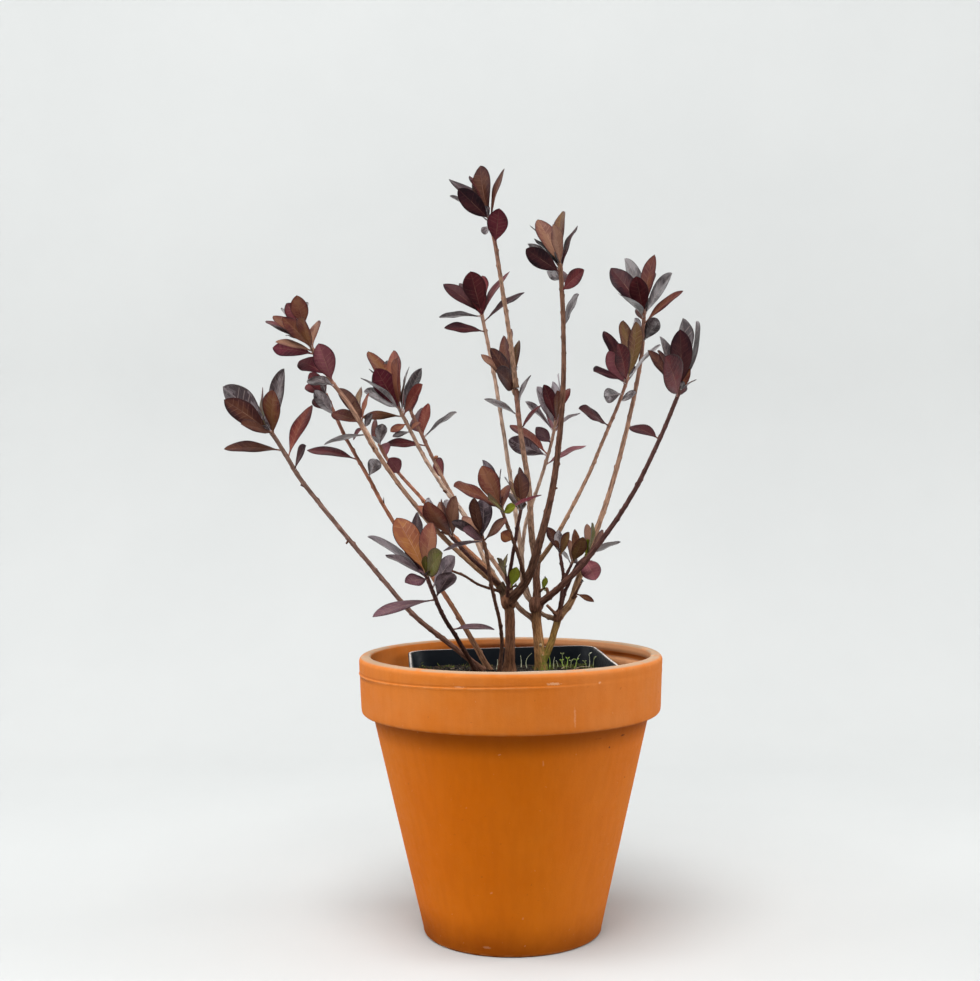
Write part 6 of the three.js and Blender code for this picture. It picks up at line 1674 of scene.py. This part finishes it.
def youngLeaves(mass, rng):
    p, young = tipRule, []
    for stem, _ in mass["stems"]:
        tip = seen(stem["curve"].along(1.0))
        along = (tip - seen(stem["curve"].along(p["near"]))).normalized()
        side = along.cross(Vector((0, 0.3, 1))).normalized()
        other = along.cross(side)
        first = rng.uniform(0, fullTurn)
        for i in range(p["young"]):
            turn = first + p["turn"] * i
            lean = radians(rng.uniform(*p["spread"]))
            out = side * cos(turn) + other * sin(turn)
            way = (along * cos(lean) + out * sin(lean)).normalized()
            length = mass["shoot"]["size"] * rng.uniform(*p["length"])
            up = (along - way * along.dot(way)).normalized()
            young.append(dict(
                start=tip - along * rng.uniform(*p["sunk"]), along=way, up=up, side=way.cross(up),
                length=length, width=p["width"] * length, tone=None, young=True))
    return young


def makeLeaves():
    total = 0
    for number, mass in enumerate(plant.masses):
        name, rng = mass["shoot"]["name"], random.Random(blade["seed"] + number)
        named = [leaf["tone"] for leaf in mass["leaves"] if leaf["tone"] in tones] or ["maroon", "bronze"]
        under = underSets[underOf.get(name, "grey")]
        builder, slotOf = PieceBuilder(), {}
        for leaf in mass["leaves"] + youngLeaves(mass, rng):
            tone = leaf["tone"] if leaf["tone"] in tones else rng.choice(named)
            points, faces, zones, uv = bladeMesh(leaf, rng)
            slots = []
            for zone, upper in zones:
                finish = marginMaterial if zone == "margin" else (leafSets[tone] if upper else under)[zone]
                slots.append(slotOf.setdefault(finish.name, len(slotOf)))
            builder.add(points, faces, slots, uv)
            total += 1
        materials = [bpy.data.materials[label] for label in slotOf]
        keepPiece(builder.finish(name + "_foliage", materials), "leaf", mass["name"])
    return total


print("leaves made:", makeLeaves())

# studio: a pale sweep for floor and back, and soft light
studio = dict(
    sweep=(0.55, 0.562, 0.558), shade=(0.53, 0.543, 0.54), front=(-1600, -400), back=750, width=5000,
    bend=350, tall=2600, steps=16, sky=0.28, white=(1.0, 1.0, 1.0, 1),
    lamps=(  # place, the place it lights, size, power
        ("overhead", (-0.15, -0.55, 1.5), (0, 0.0, 0.15), 1.1, 29.0),
        ("left", (-1.4, 0.0, 0.7), (0, -0.1, 0.15), 0.9, 9.5),
        ("right", (1.45, 0.0, 0.75), (0, -0.1, 0.15), 0.9, 11.5),
    ),
)


def makeStudio():
    p = studio
    bendFoot = p["back"] - p["bend"]
    profile = [*((y, 0.0) for y in p["front"]), *arc(bendFoot, p["bend"], p["bend"], -90, 0, p["steps"])]
    profile.append((p["back"], p["tall"]))
    points = [(x, y, z) for y, z in profile for x in (-p["width"] / 2, p["width"] / 2)]
    faces = [(2 * i, 2 * i + 1, 2 * i + 3, 2 * i + 2) for i in range(len(profile) - 1)]
    t = Finish("paleSweep", 0.9, 0.2)
    t.paint(t.patches(3.0, 0.3, 0.7, p["sweep"], p["shade"]))
    meshObject("paleSweep", points, faces, [t.material])


def softLamp(name, place, aimedAt, size, power):
    data = bpy.data.lights.new(name, "AREA")
    data.shape, data.size, data.energy = "DISK", size, power
    lamp = bpy.data.objects.new(name, data)
    bpy.context.scene.collection.objects.link(lamp)
    lamp.location = place
    lamp.rotation_euler = (Vector(aimedAt) - Vector(place)).to_track_quat("-Z", "Y").to_euler()


def lightStudio():
    world = bpy.data.worlds.new("softWorld")
    bpy.context.scene.world = world
    world.use_nodes = True
    background = world.node_tree.nodes["Background"]
    background.inputs["Color"].default_value = studio["white"]
    background.inputs["Strength"].default_value = studio["sky"]
    for lamp in studio["lamps"]:
        softLamp(*lamp)


makeStudio()
lightStudio()
bpy.context.scene.view_settings.view_transform = "Standard"
print("studio lit")
